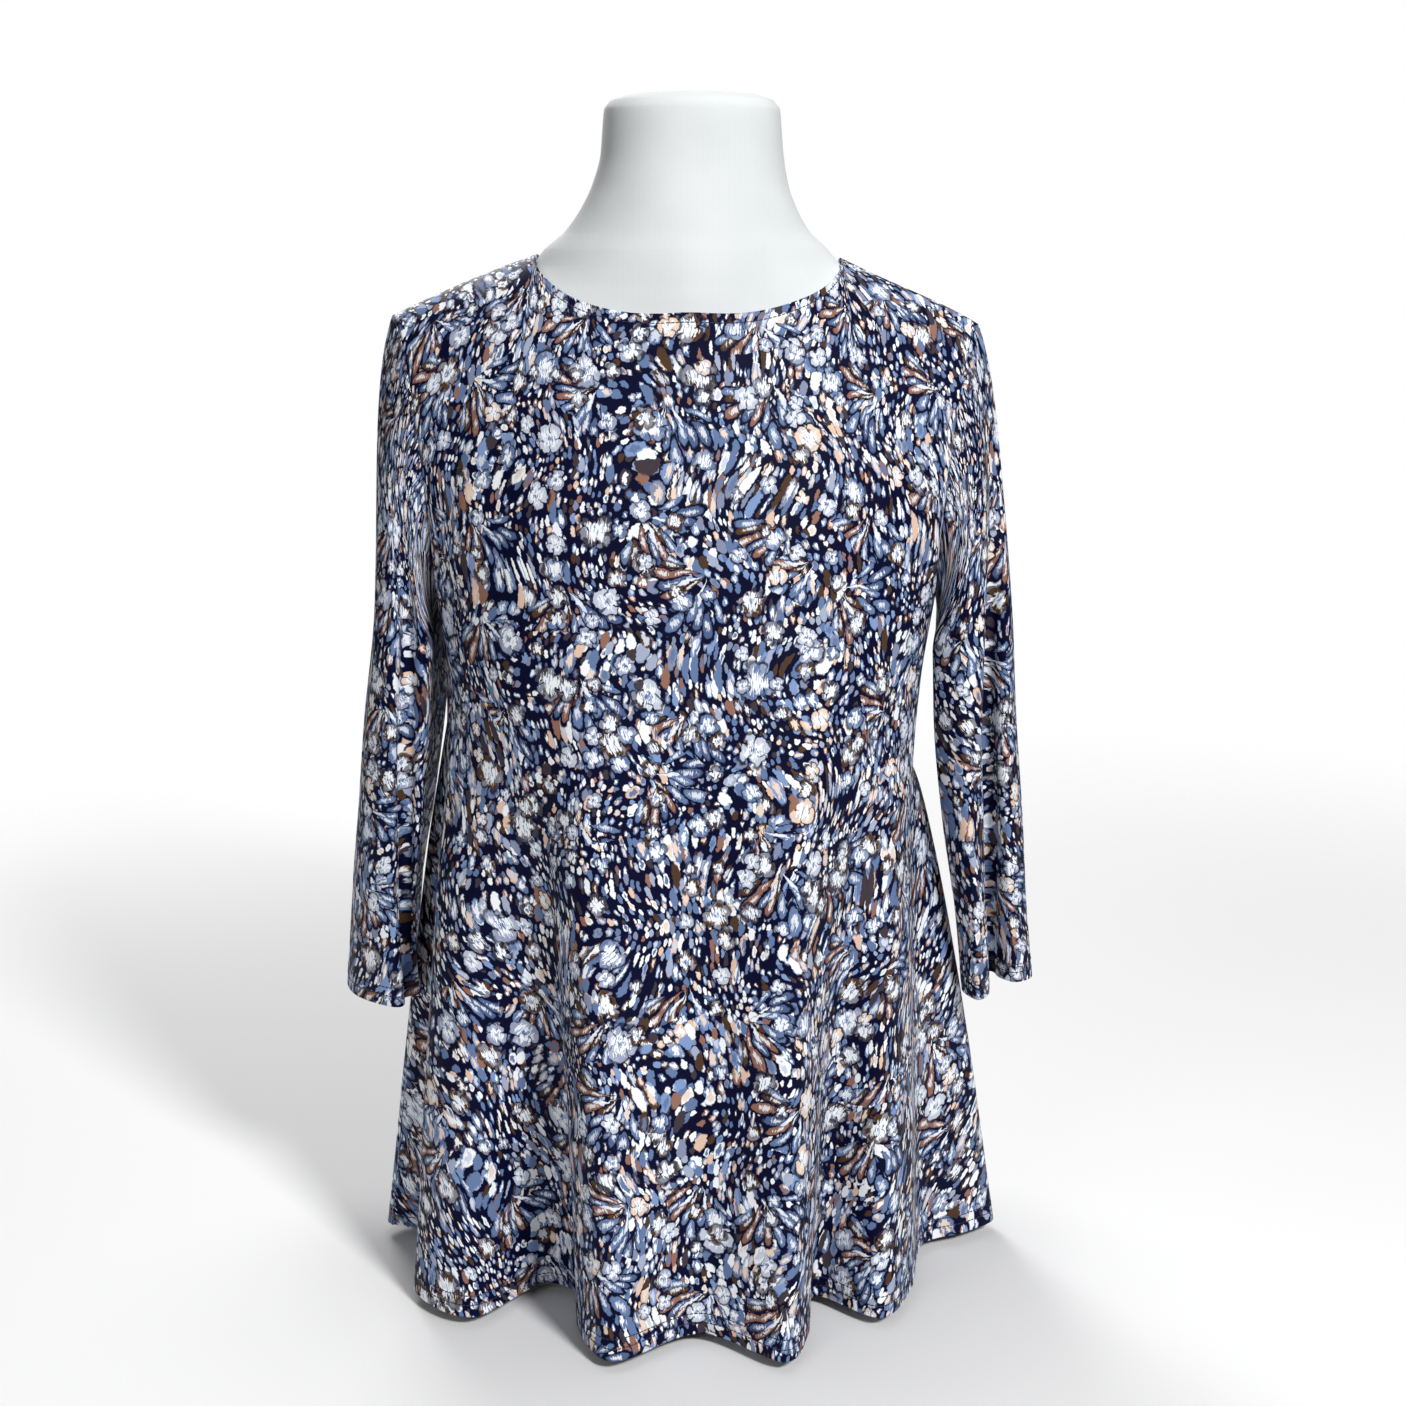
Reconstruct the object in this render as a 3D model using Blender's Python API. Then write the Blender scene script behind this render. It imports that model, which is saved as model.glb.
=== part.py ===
# Knit tunic blouse with three-quarter sleeves, worn by a limbless dress form.
# The frame: +Z up, +X to the viewer's right, the front faces -Y, and the origin
# is the middle of the form's flat base. Sizes are in metres.
#
# Every cloth piece is a wall between an outer grid of points and the same grid
# moved inwards. Body panels run up from the hem in level rows as far as the
# underarm, then on over the chest to the shoulder seams and the neck edge. Their
# columns follow the folds, so that a ridge or a trough is one clean line of points.

from collections import namedtuple

import bmesh
import bpy
import numpy as np

WALL = 0.0013  # cloth with its sewn allowance
SEAM_GAP = 0.0006  # between two cloth pieces where they are sewn
HEM_HEIGHT = 0.008
UNDERARM_HEIGHT = 0.490
UPPER_ROWS = 12  # from the underarm up to the shoulder seam, along the armhole
LOWER_HEIGHTS = (0.008, 0.032, 0.072, 0.118, 0.166, 0.214, 0.262, 0.308, 0.352, 0.394, 0.432, 0.464)
FORM_SIDES = 36

# The shoulder seams lie on one ridge, and the neck edge is cut out of the cloth under it.
RIDGE_DEPTH = 0.003
RIDGE_HEIGHT = 0.746  # above the Z axis, where the neck edge leaves it uncovered
NECK_HALF_WIDTH = 0.105
NECK_POINT_HEIGHT = 0.722
FRONT_NECK_REACH = 0.0845  # from the ridge forwards to the front of the neck edge
BACK_NECK_REACH = 0.063
NECK_ROUNDNESS = 2.45
NECK_CORNER = 0.5  # share of a half panel that the neck edge takes, the rest is shoulder
ShoulderTip = namedtuple("ShoulderTip", "reach height dip")  # dip is the sag half way along the seam
LEFT_TIP = ShoulderTip(0.2038, 0.681, 0.0)
RIGHT_TIP = ShoulderTip(0.1990, 0.675, 0.004)
DIP_START = 0.06  # X where the ridge begins to sag

# How the chest and the back climb from the underarm level to the ridge: the speed that
# the cloth leaves with and arrives with, forwards or back and up, at the middle of the
# panel, over the shoulder and along the armhole.
Climb = namedtuple("Climb", "share leave_along leave_up arrive_along arrive_up")
FRONT_CLIMB = (
    Climb(0.00, -0.020, 0.420, 0.220, -0.010),
    Climb(0.50, 0.020, 0.280, 0.260, 0.030),
    Climb(0.75, 0.110, 0.170, 0.245, 0.040),
    Climb(1.00, 0.262, 0.045, 0.200, 0.020),
)
BACK_CLIMB = (
    Climb(0.00, 0.010, 0.480, 0.150, -0.130),
    Climb(0.50, 0.035, 0.290, 0.255, 0.010),
    Climb(0.75, 0.110, 0.170, 0.245, 0.010),
    Climb(1.00, 0.262, 0.045, 0.200, 0.010),
)

# How the body cloth would hang with no folds: its reach to each side, forwards and back.
BodySection = namedtuple("BodySection", "height left right front back")
BODY_SECTIONS = (
    BodySection(0.008, 0.172, 0.158, 0.136, 0.104),
    BodySection(0.300, 0.173, 0.158, 0.137, 0.106),
    BodySection(0.370, 0.1715, 0.159, 0.138, 0.108),
    BodySection(0.430, 0.1705, 0.163, 0.137, 0.112),
    BodySection(0.490, 0.177, 0.172, 0.131, 0.115),
)
BODY_ROUNDNESS = 2.25  # exponent of the oval: 2 is an ellipse, more is squarer

BUST_HEIGHT = 0.452
BUST_ANGLE = 30.0
BUST_SWELL = 0.007
BUST_SPREAD = 24.0  # degrees round the body
BUST_RISE = 0.055  # how far above the bust line the swell fades out

# Each row is a ridge or a trough: where it starts round the body in degrees (0 in
# front, 90 at the +X side), where it meets the hem seen from above, the height that
# it starts at, and how fast it opens (under 1 opens early, over 1 opens late).
Fold = namedtuple("Fold", "name start_angle hem_x hem_y start_height ease")
FRONT_FOLDS = (
    Fold("left_side_ridge", -90, -0.2268, 0.0120, 0.400, 0.90),
    Fold("left_side_trough", -81, -0.1880, -0.0110, 0.380, 1.10),
    Fold("left_front_edge", -69, -0.1925, -0.1020, 0.400, 0.85),
    Fold("left_front_ridge", -57, -0.1500, -0.1400, 0.400, 1.05),
    Fold("left_trough", -40, -0.1000, -0.0890, 0.430, 1.05),
    Fold("left_trough_end", -33.5, -0.0745, -0.1090, 0.430, 1.00),
    Fold("left_centre_edge", -28, -0.0765, -0.1500, 0.440, 0.95),
    Fold("left_centre_ridge", -22, -0.0520, -0.2010, 0.450, 1.00),
    Fold("centre_trough", 1, 0.0075, -0.1630, 0.440, 1.00),
    Fold("right_centre_ridge", 25, 0.0650, -0.2020, 0.450, 1.00),
    Fold("right_centre_edge", 31.5, 0.0805, -0.1650, 0.440, 0.95),
    Fold("right_trough", 47, 0.0885, -0.1090, 0.430, 1.05),
    Fold("right_front_ridge", 57, 0.1320, -0.1410, 0.410, 1.00),
    Fold("right_front_edge", 68, 0.1565, -0.0980, 0.390, 0.90),
    Fold("right_side_trough", 78, 0.1735, -0.0250, 0.370, 0.90),
    Fold("right_side_shelf", 84, 0.2070, -0.0060, 0.365, 0.80),
    Fold("right_side_ridge", 90, 0.2300, 0.0180, 0.365, 0.75),
)
BACK_FOLDS = (
    Fold("right_side_ridge", 90, 0.2300, 0.018, 0.365, 0.75),
    Fold("right_back_trough", 104, 0.1860, 0.060, 0.380, 0.90),
    Fold("right_back_ridge", 119, 0.1720, 0.128, 0.400, 0.95),
    Fold("right_blade_trough", 135, 0.1080, 0.104, 0.420, 1.10),
    Fold("right_blade_ridge", 153, 0.0720, 0.168, 0.440, 1.05),
    Fold("centre_back_trough", 178, 0.0060, 0.134, 0.440, 1.00),
    Fold("left_blade_ridge", 205, -0.0640, 0.172, 0.430, 1.00),
    Fold("left_blade_trough", 225, -0.1120, 0.103, 0.420, 1.10),
    Fold("left_back_ridge", 241, -0.1660, 0.132, 0.400, 0.95),
    Fold("left_back_trough", 256, -0.1850, 0.056, 0.390, 1.00),
    Fold("left_side_ridge", 270, -0.2268, 0.012, 0.400, 0.90),
)
FRONT_COLUMN = 0.018  # about how far apart the columns are at the hem
BACK_COLUMN = 0.026

# The sleeves hang empty and flattened, wider front to back than side to side. A section
# gives the box round them, from the side next to the body outwards.
SleeveSection = namedtuple("SleeveSection", "height inner outer front back")
SLEEVE_HEIGHTS = (0.452, 0.428, 0.402, 0.372, 0.338, 0.302, 0.266, 0.232, 0.197)
RIGHT_SLEEVE_SECTIONS = (
    SleeveSection(0.452, 0.1695, 0.2285, -0.062, 0.066),
    SleeveSection(0.400, 0.1720, 0.2325, -0.056, 0.070),
    SleeveSection(0.330, 0.1800, 0.2397, -0.048, 0.075),
    SleeveSection(0.266, 0.1905, 0.2450, -0.039, 0.080),
    SleeveSection(0.197, 0.1985, 0.2535, -0.027, 0.088),
)
LEFT_SLEEVE_SECTIONS = (
    SleeveSection(0.452, 0.1770, 0.2235, -0.062, 0.066),
    SleeveSection(0.400, 0.1790, 0.2310, -0.059, 0.070),
    SleeveSection(0.330, 0.1840, 0.2382, -0.054, 0.075),
    SleeveSection(0.266, 0.1900, 0.2445, -0.049, 0.080),
    SleeveSection(0.197, 0.1890, 0.2517, -0.042, 0.086),
)

# Each row is a ridge or a trough of a sleeve: its share of the way round from the
# underarm seam past the front, then its place in the section's box at the elbow and at
# the cuff, as shares across (0 next to the body) and along (0 in front, 1 behind).
SleeveFold = namedtuple("SleeveFold", "name round elbow_across elbow_along cuff_across cuff_along")
RIGHT_SLEEVE_FOLDS = (
    SleeveFold("underarm", 0.000, 0.10, 0.50, 0.12, 0.52),
    SleeveFold("inner_front", 0.125, 0.00, 0.14, 0.00, 0.16),
    SleeveFold("front_ridge", 0.250, 0.32, 0.00, 0.17, 0.00),
    SleeveFold("front_edge", 0.3333, 0.52, 0.05, 0.34, 0.12),
    SleeveFold("front_trough", 0.4167, 0.62, 0.22, 0.42, 0.50),
    SleeveFold("outer_edge", 0.5000, 0.83, 0.18, 0.74, 0.34),
    SleeveFold("outer_ridge", 0.5833, 1.00, 0.42, 1.00, 0.44),
    SleeveFold("outer_back", 0.6667, 0.97, 0.75, 0.95, 0.74),
    SleeveFold("back_ridge", 0.8333, 0.57, 1.00, 0.60, 1.00),
    SleeveFold("inner_back", 0.9167, 0.20, 0.84, 0.25, 0.88),
)
LEFT_SLEEVE_FOLDS = (
    SleeveFold("underarm", 0.000, 0.08, 0.50, 0.47, 0.52),
    SleeveFold("inner_front", 0.0833, 0.02, 0.22, 0.24, 0.24),
    SleeveFold("inner_ridge", 0.1667, 0.12, 0.06, 0.09, 0.19),
    SleeveFold("front_trough", 0.250, 0.30, 0.12, 0.18, 0.18),
    SleeveFold("front_ridge", 0.3333, 0.52, 0.00, 0.27, 0.00),
    SleeveFold("outer_edge", 0.4167, 0.82, 0.10, 0.78, 0.17),
    SleeveFold("outer_ridge", 0.5833, 1.00, 0.50, 1.00, 0.44),
    SleeveFold("outer_back", 0.6667, 0.96, 0.76, 0.94, 0.74),
    SleeveFold("back_ridge", 0.8333, 0.54, 1.00, 0.66, 1.00),
    SleeveFold("inner_back", 0.9167, 0.16, 0.82, 0.48, 0.84),
)

# The form: half widths and its reach forwards and back of the Z axis.
FormSection = namedtuple("FormSection", "height half_width front back roundness")
FORM_SECTIONS = (
    FormSection(0.000, 0.1420, 0.0780, 0.0880, 2.10),
    FormSection(0.006, 0.1460, 0.0820, 0.0920, 2.10),
    FormSection(0.080, 0.1500, 0.0850, 0.0960, 2.10),
    FormSection(0.170, 0.1520, 0.0880, 0.0970, 2.10),
    FormSection(0.250, 0.1400, 0.0880, 0.0880, 2.10),
    FormSection(0.320, 0.1240, 0.0880, 0.0770, 2.10),
    FormSection(0.380, 0.1360, 0.1000, 0.0800, 2.10),
    FormSection(0.440, 0.1500, 0.1200, 0.0900, 2.10),
    FormSection(0.500, 0.1560, 0.1180, 0.0980, 2.10),
    FormSection(0.560, 0.1640, 0.1060, 0.1000, 2.05),
    FormSection(0.610, 0.1730, 0.0950, 0.0960, 1.95),
    FormSection(0.645, 0.1810, 0.0850, 0.0880, 1.85),
    FormSection(0.665, 0.1800, 0.0790, 0.0800, 1.75),
    FormSection(0.680, 0.1665, 0.0750, 0.0740, 1.70),
    FormSection(0.692, 0.1450, 0.0710, 0.0690, 1.70),
    FormSection(0.703, 0.1230, 0.0680, 0.0640, 1.72),
    FormSection(0.7145, 0.1060, 0.0660, 0.0600, 1.78),
    FormSection(0.7265, 0.0955, 0.0640, 0.0580, 1.85),
    FormSection(0.737, 0.0835, 0.0610, 0.0560, 1.95),
    FormSection(0.752, 0.0735, 0.0590, 0.0555, 2.00),
    FormSection(0.768, 0.0665, 0.0570, 0.0550, 2.05),
    FormSection(0.788, 0.0618, 0.0560, 0.0550, 2.10),
    FormSection(0.807, 0.0602, 0.0555, 0.0545, 2.10),
    FormSection(0.817, 0.0592, 0.0545, 0.0535, 2.10),
    FormSection(0.823, 0.0550, 0.0500, 0.0495, 2.10),
    FormSection(0.827, 0.0440, 0.0400, 0.0400, 2.10),
    FormSection(0.8285, 0.0280, 0.0250, 0.0250, 2.10),
)
NECK_LEAN = 0.002  # the neck's middle moves to the +X side by this at the top, and as far back below

COTTON_WHITE = (0.80, 0.81, 0.82, 1.0)
PRINT_BLUE = (0.16, 0.19, 0.28, 1.0)


# Curves through the tables


def through(table, column, height):
    # The column's value at a height, on a cubic that never overshoots its rows.
    rows = sorted(table, key=lambda row: row.height)
    z = np.array([row.height for row in rows])
    v = np.array([getattr(row, column) for row in rows])
    step = np.diff(z)
    slope = np.diff(v) / step
    rate = np.zeros_like(v)
    rate[0], rate[-1] = slope[0], slope[-1]
    for k in range(1, len(v) - 1):
        if slope[k - 1] * slope[k] > 0:
            rate[k] = 2 * slope[k - 1] * slope[k] / (slope[k - 1] + slope[k])
    k = int(np.clip(np.searchsorted(z, height) - 1, 0, len(step) - 1))
    t = np.clip((height - z[k]) / step[k], 0, 1)
    blend = t * t * (3 - 2 * t)
    return (
        (1 - blend) * v[k]
        + blend * v[k + 1]
        + step[k] * (t * (1 - t) ** 2 * rate[k] - t * t * (1 - t) * rate[k + 1])
    )


def hermite(start, leave, end, arrive, t):
    a = 2 * t**3 - 3 * t**2 + 1
    b = t**3 - 2 * t**2 + t
    c = t**3 - t**2
    return a * start + b * leave + (1 - a) * end + c * arrive


def loop_point(nodes, where):
    # A point on the smooth closed curve through the nodes. where is in steps from node to node.
    count = len(nodes)
    k = int(np.floor(where))
    t = where - k
    a, b, c, d = (nodes[(k + i) % count] for i in (-1, 0, 1, 2))
    span = [max(np.linalg.norm(q - p), 1e-6) ** 0.5 for p, q in ((a, b), (b, c), (c, d))]
    leave = span[1] * ((b - a) / span[0] - (c - a) / (span[0] + span[1]) + (c - b) / span[1])
    arrive = span[1] * ((c - b) / span[1] - (d - b) / (span[1] + span[2]) + (d - c) / span[2])
    return hermite(b, leave, c, arrive, t)


def unit(vectors):
    return vectors / np.linalg.norm(vectors, axis=-1, keepdims=True)


# The body panels


def oval(angle, left, right, front, back, roundness):
    side, ahead = np.sin(np.radians(angle)), np.cos(np.radians(angle))
    x = (right if side > 0 else left) * np.sign(side) * abs(side) ** (2 / roundness)
    y = (-front if ahead > 0 else back) * abs(ahead) ** (2 / roundness)
    return np.array([x, y])


def body_oval(angle, height):
    reach = [through(BODY_SECTIONS, column, height) for column in ("left", "right", "front", "back")]
    place = oval(angle, *reach, BODY_ROUNDNESS)
    off_bust = (abs(angle) - BUST_ANGLE) / BUST_SPREAD
    above = max(0.0, height - BUST_HEIGHT) / BUST_RISE
    return place + [0, -BUST_SWELL * np.exp(-off_bust**2 - above**2)]


def fold_place(fold, height):
    start = body_oval(fold.start_angle, height)
    if height >= fold.start_height:
        return start
    opened = ((fold.start_height - height) / (fold.start_height - HEM_HEIGHT)) ** fold.ease
    at_hem = np.array([fold.hem_x, fold.hem_y])
    return start + opened * (at_hem - body_oval(fold.start_angle, HEM_HEIGHT))


def body_point(angle, height):
    folds = FRONT_FOLDS + BACK_FOLDS[1:-1]
    nodes = [fold_place(fold, height) for fold in folds]
    angles = [fold.start_angle for fold in folds] + [270]
    return np.append(loop_point(nodes, np.interp(angle, angles, range(len(angles)))), height)


def panel_angles(folds, spacing):
    # Angles from fold to fold, as many between two folds as their stretch of hem needs.
    angles = [folds[0].start_angle]
    for fold, after in zip(folds, folds[1:]):
        hem = np.hypot(after.hem_x - fold.hem_x, after.hem_y - fold.hem_y)
        count = max(2, round(float(hem) / spacing))
        angles += list(np.linspace(fold.start_angle, after.start_angle, count + 1)[1:])
    return angles


def share_of(angle):
    # The place across a panel, from -1 at the -X side seam to 1 at the +X one.
    return angle / 90 if angle <= 90 else (180 - angle) / 90


def ridge_point(share):
    tip = RIGHT_TIP if share > 0 else LEFT_TIP
    fall = np.log((RIDGE_HEIGHT - NECK_POINT_HEIGHT) / (RIDGE_HEIGHT - tip.height))
    power = fall / np.log(NECK_HALF_WIDTH / tip.reach)
    z = RIDGE_HEIGHT - (RIDGE_HEIGHT - tip.height) * abs(share) ** power
    sag = np.clip((abs(share) * tip.reach - DIP_START) / (tip.reach - DIP_START), 0, 1)
    z -= tip.dip * np.sin(np.pi * sag) ** 2
    return np.array([share * tip.reach, RIDGE_DEPTH, z])


def climb_value(table, column, part):
    return np.interp(part, [row.share for row in table], [getattr(row, column) for row in table])


def chest_point(share, climbed, front):
    # The cloth over the chest or the back, as if it closed over the neck on the ridge.
    side, part = np.sign(share), abs(share)
    table, ahead = (FRONT_CLIMB, -1) if front else (BACK_CLIMB, 1)
    base = body_point(share * 90 if front else 180 - share * 90, UNDERARM_HEIGHT)
    edge = part**3
    leave = [-side * 0.024 * edge]
    leave += [ahead * climb_value(table, "leave_along", part), climb_value(table, "leave_up", part)]
    arrive = [side * 0.060 * edge]
    arrive += [-ahead * climb_value(table, "arrive_along", part), climb_value(table, "arrive_up", part)]
    return hermite(base, np.array(leave), ridge_point(share), np.array(arrive), climbed)


def neck_place(share, front):
    # Where the neck edge crosses the cloth, found from its oval seen from above.
    turn = np.pi / 2 * share / NECK_CORNER
    reach = -FRONT_NECK_REACH if front else BACK_NECK_REACH
    x = NECK_HALF_WIDTH * np.sign(turn) * abs(np.sin(turn)) ** (2 / NECK_ROUNDNESS)
    y = RIDGE_DEPTH + reach * abs(np.cos(turn)) ** (2 / NECK_ROUNDNESS)
    found = x / RIGHT_TIP.reach
    climbed = 1.0
    for _ in range(8):
        low, high = 0.3, 1.0
        for _ in range(24):
            climbed = (low + high) / 2
            beyond = (chest_point(found, climbed, front)[1] - y) * reach > 0
            low, high = (climbed, high) if beyond else (low, climbed)
        found += (x - chest_point(found, climbed, front)[0]) / RIGHT_TIP.reach
    return found, climbed


def top_place(share, front):
    # The neck edge and the shoulder seams, as a place on the cloth: across and up.
    side, part = np.sign(share), abs(share)
    if part < NECK_CORNER:
        return neck_place(share, front)
    corner = NECK_HALF_WIDTH / (RIGHT_TIP if side > 0 else LEFT_TIP).reach
    return side * np.interp(part, (NECK_CORNER, 1), (corner, 1)), 1.0


def row_rise(row):
    # Rows lie closer together near the underarm and near the shoulder seam.
    along = row / UPPER_ROWS
    return 0.55 * along + 0.45 * (0.5 - 0.5 * np.cos(np.pi * along))


def body_panel(folds, spacing, front):
    angles = panel_angles(folds, spacing)
    rows = [[body_point(angle, z) for angle in angles] for z in LOWER_HEIGHTS]
    tops = [top_place(share_of(angle), front) for angle in angles]
    for row in range(UPPER_ROWS + 1):
        rise = row_rise(row)
        line = []
        for angle, (top_share, top_climb) in zip(angles, tops):
            share = share_of(angle)
            line.append(chest_point(share + rise * (top_share - share), rise * top_climb, front))
        rows.append(line)
    return np.array(rows)


# The sleeves


def armhole(front, back, side):
    # The body's own armhole edge as a loop from the underarm, up the front and down the back.
    edge_front, edge_back = (-1, 0) if side > 0 else (0, -1)
    up = front[-UPPER_ROWS - 1 :, edge_front]
    down = back[-UPPER_ROWS - 1 :, edge_back][::-1]
    return np.concatenate([up, down[1:-1]])


def sleeve_ring(sections, folds, side, count, height):
    low, high = sections[-1].height, sections[0].height
    lowered = np.clip((high - height) / (high - low), 0, 1)
    box = {name: through(sections, name, height) for name in ("inner", "outer", "front", "back")}
    nodes = []
    for fold in folds:
        across_box = fold.elbow_across + lowered * (fold.cuff_across - fold.elbow_across)
        along_box = fold.elbow_along + lowered * (fold.cuff_along - fold.elbow_along)
        x = box["inner"] + across_box * (box["outer"] - box["inner"])
        y = box["front"] + along_box * (box["back"] - box["front"])
        nodes.append(np.array([x, y]))
    shares = [fold.round for fold in folds] + [1.0]
    ring = []
    for i in range(count):
        where = np.interp(i / count, shares, range(len(shares)))
        x, y = loop_point(nodes, where)
        ring.append([side * x, y, height])
    return np.array(ring)


def sleeve(sections, folds, side, top):
    count = len(top)
    rings = [sleeve_ring(sections, folds, side, count, z) for z in SLEEVE_HEIGHTS]
    first, second = rings[0], rings[1]
    fall = (second - first) / (SLEEVE_HEIGHTS[0] - SLEEVE_HEIGHTS[1])
    drop = np.linalg.norm(first - top, axis=1, keepdims=True)
    height_share = (top[:, 2:] - top[:, 2].min()) / np.ptp(top[:, 2])
    outwards = np.array([side, 0, 0])
    spread = 0.54 - 0.30 * height_share
    leave = drop * (spread * outwards - np.array([0, 0, 1.0]) * (1.0 - 0.35 * height_share))
    arrive = drop * fall
    cap_rows = 7
    cap = [hermite(top, leave, first, arrive, row / cap_rows) for row in range(cap_rows)]
    return np.array(cap + rings)


# Walls


def outward(grid, closed):
    if closed:
        wrapped = np.concatenate([grid[:, -1:], grid, grid[:, :1]], axis=1)
        along = (wrapped[:, 2:] - wrapped[:, :-2]) / 2
    else:
        along = np.gradient(grid, axis=1)
    return unit(np.cross(along, np.gradient(grid, axis=0)))


def sewn_edge(tangent, away, normal, other_normal, groove):
    # How one sheet's edge keeps its distance at a seam: the step that draws it back, and its
    # inward step. Both sheets share one end face, unless they fold back sharply in a groove.
    facing = np.sum(normal * other_normal, axis=-1, keepdims=True)
    folded = np.clip((0.3 - facing) / 0.6, 0, 1) if groove else np.zeros_like(facing)
    along = unit(away - np.sum(away * tangent, axis=-1, keepdims=True) * tangent)
    back = unit((1 - folded) * along - folded * normal) * SEAM_GAP / 2
    shared = -(normal + other_normal) / np.maximum(1 + facing, 0.5)
    return back, np.where(folded > 0.3, -normal, shared)


def sew_side(grids, out, inwards, moves, column_front, column_back):
    rows = slice(0, len(LOWER_HEIGHTS) + 1)
    edges = {"front": column_front, "back": column_back}
    for key, other in (("front", "back"), ("back", "front")):
        c = edges[key]
        step = 1 if c == 0 else -1
        tangent = unit(np.gradient(grids[key][rows, c], axis=0))
        away = grids[key][rows, c + step] - grids[key][rows, c]
        panel, other_panel = out[key][rows, c], out[other][rows, edges[other]]
        back, inward = sewn_edge(tangent, away, panel, other_panel, False)
        moves[key][rows, c] += back
        inwards[key][rows, c] = inward


def sew_armhole(grids, out, inwards, moves, side, column_front, column_back):
    below = len(LOWER_HEIGHTS)
    cap = grids[side]
    for key, c, turn in (("front", column_front, 1), ("back", column_back, -1)):
        around = [turn * row for row in range(UPPER_ROWS + 1)]
        step = 1 if c == 0 else -1
        edge = grids[key][below:, c]
        tangent = unit(np.gradient(edge, axis=0))
        panel, sleeve_normal = out[key][below:, c], out[side][0, around]
        back, inward = sewn_edge(tangent, grids[key][below:, c + step] - edge, panel, sleeve_normal, True)
        moves[key][below:, c] += back
        inwards[key][below + 1 :, c] = inward[1:]
        back, inward = sewn_edge(tangent, cap[1, around] - cap[0, around], sleeve_normal, panel, True)
        moves[side][0, around] = back
        inwards[side][0, around] = inward
    tip = -unit(out["front"][-1, column_front] + out["back"][-1, column_back] + out[side][0, UPPER_ROWS])
    inwards["front"][-1, column_front] = tip
    inwards["back"][-1, column_back] = tip
    inwards[side][0, UPPER_ROWS] = tip


def sew_shoulder(grid, inwards, moves, columns):
    last = grid.shape[1] - 1
    for c in columns:
        moves[-1, c] += unit(grid[-2, c] - grid[-1, c]) * SEAM_GAP / 2
        if 0 < c < last:
            before, after = (d if d in columns else c for d in (c - 1, c + 1))
            along = grid[-1, after] - grid[-1, before]
            inwards[-1, c] = unit(np.array([along[2], 0, -along[0]])) * np.sign(along[0])


def wall_mesh(name, grid, inwards, closed, turned):
    # Both sides are cut into the same triangles, so a bent wall keeps its thickness.
    rows, columns = grid.shape[:2]
    mesh = bmesh.new()
    outer = [[mesh.verts.new(p) for p in line] for line in grid]
    inner = [[mesh.verts.new(p) for p in line] for line in grid + WALL * inwards]
    last = columns if closed else columns - 1

    def face(*corners):
        mesh.faces.new(corners[::-1] if turned else corners)

    for r in range(rows - 1):
        for c in range(last):
            d = (c + 1) % columns
            corner = [(r, c), (r, d), (r + 1, d), (r + 1, c)]
            short = np.linalg.norm(grid[r, c] - grid[r + 1, d]) <= np.linalg.norm(grid[r, d] - grid[r + 1, c])
            for pick in ((0, 1, 2), (0, 2, 3)) if short else ((0, 1, 3), (1, 2, 3)):
                face(*(outer[corner[i][0]][corner[i][1]] for i in pick))
                face(*(inner[corner[i][0]][corner[i][1]] for i in reversed(pick)))
    for c in range(last):
        d = (c + 1) % columns
        face(outer[0][d], outer[0][c], inner[0][c], inner[0][d])
        face(outer[-1][c], outer[-1][d], inner[-1][d], inner[-1][c])
    if not closed:
        for r in range(rows - 1):
            face(outer[r][0], outer[r + 1][0], inner[r + 1][0], inner[r][0])
            face(outer[r + 1][-1], outer[r][-1], inner[r][-1], inner[r + 1][-1])
    return finish(mesh, name)


def finish(mesh, name):
    data = bpy.data.meshes.new(name)
    mesh.to_mesh(data)
    mesh.free()
    data.shade_smooth()
    obj = bpy.data.objects.new(name, data)
    bpy.context.scene.collection.objects.link(obj)
    return obj


def material(name, colour, roughness):
    made = bpy.data.materials.new(name)
    made.use_nodes = True
    shader = made.node_tree.nodes["Principled BSDF"]
    shader.inputs["Base Color"].default_value = colour
    shader.inputs["Roughness"].default_value = roughness
    shader.inputs["Metallic"].default_value = 0.0
    return made


# The dress form


def form_ring(height):
    half, front, back, roundness = (
        through(FORM_SECTIONS, column, height) for column in ("half_width", "front", "back", "roundness")
    )
    shift = NECK_LEAN * np.clip((height - 0.755) / 0.03, -1, 1) * np.clip((height - 0.69) / 0.03, 0, 1)
    ring = []
    for i in range(FORM_SIDES):
        x, y = oval(360 * i / FORM_SIDES, half, half, front, back, roundness)
        ring.append([x + shift, y, height])
    return ring


def dress_form():
    mesh = bmesh.new()
    rings = [[mesh.verts.new(p) for p in form_ring(row.height)] for row in FORM_SECTIONS]
    for low, high in zip(rings, rings[1:]):
        for i in range(FORM_SIDES):
            j = (i + 1) % FORM_SIDES
            mesh.faces.new((low[i], low[j], high[j], high[i]))
    mesh.faces.new(rings[0][::-1])
    mesh.faces.new(rings[-1])
    return finish(mesh, "dress_form")


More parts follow.
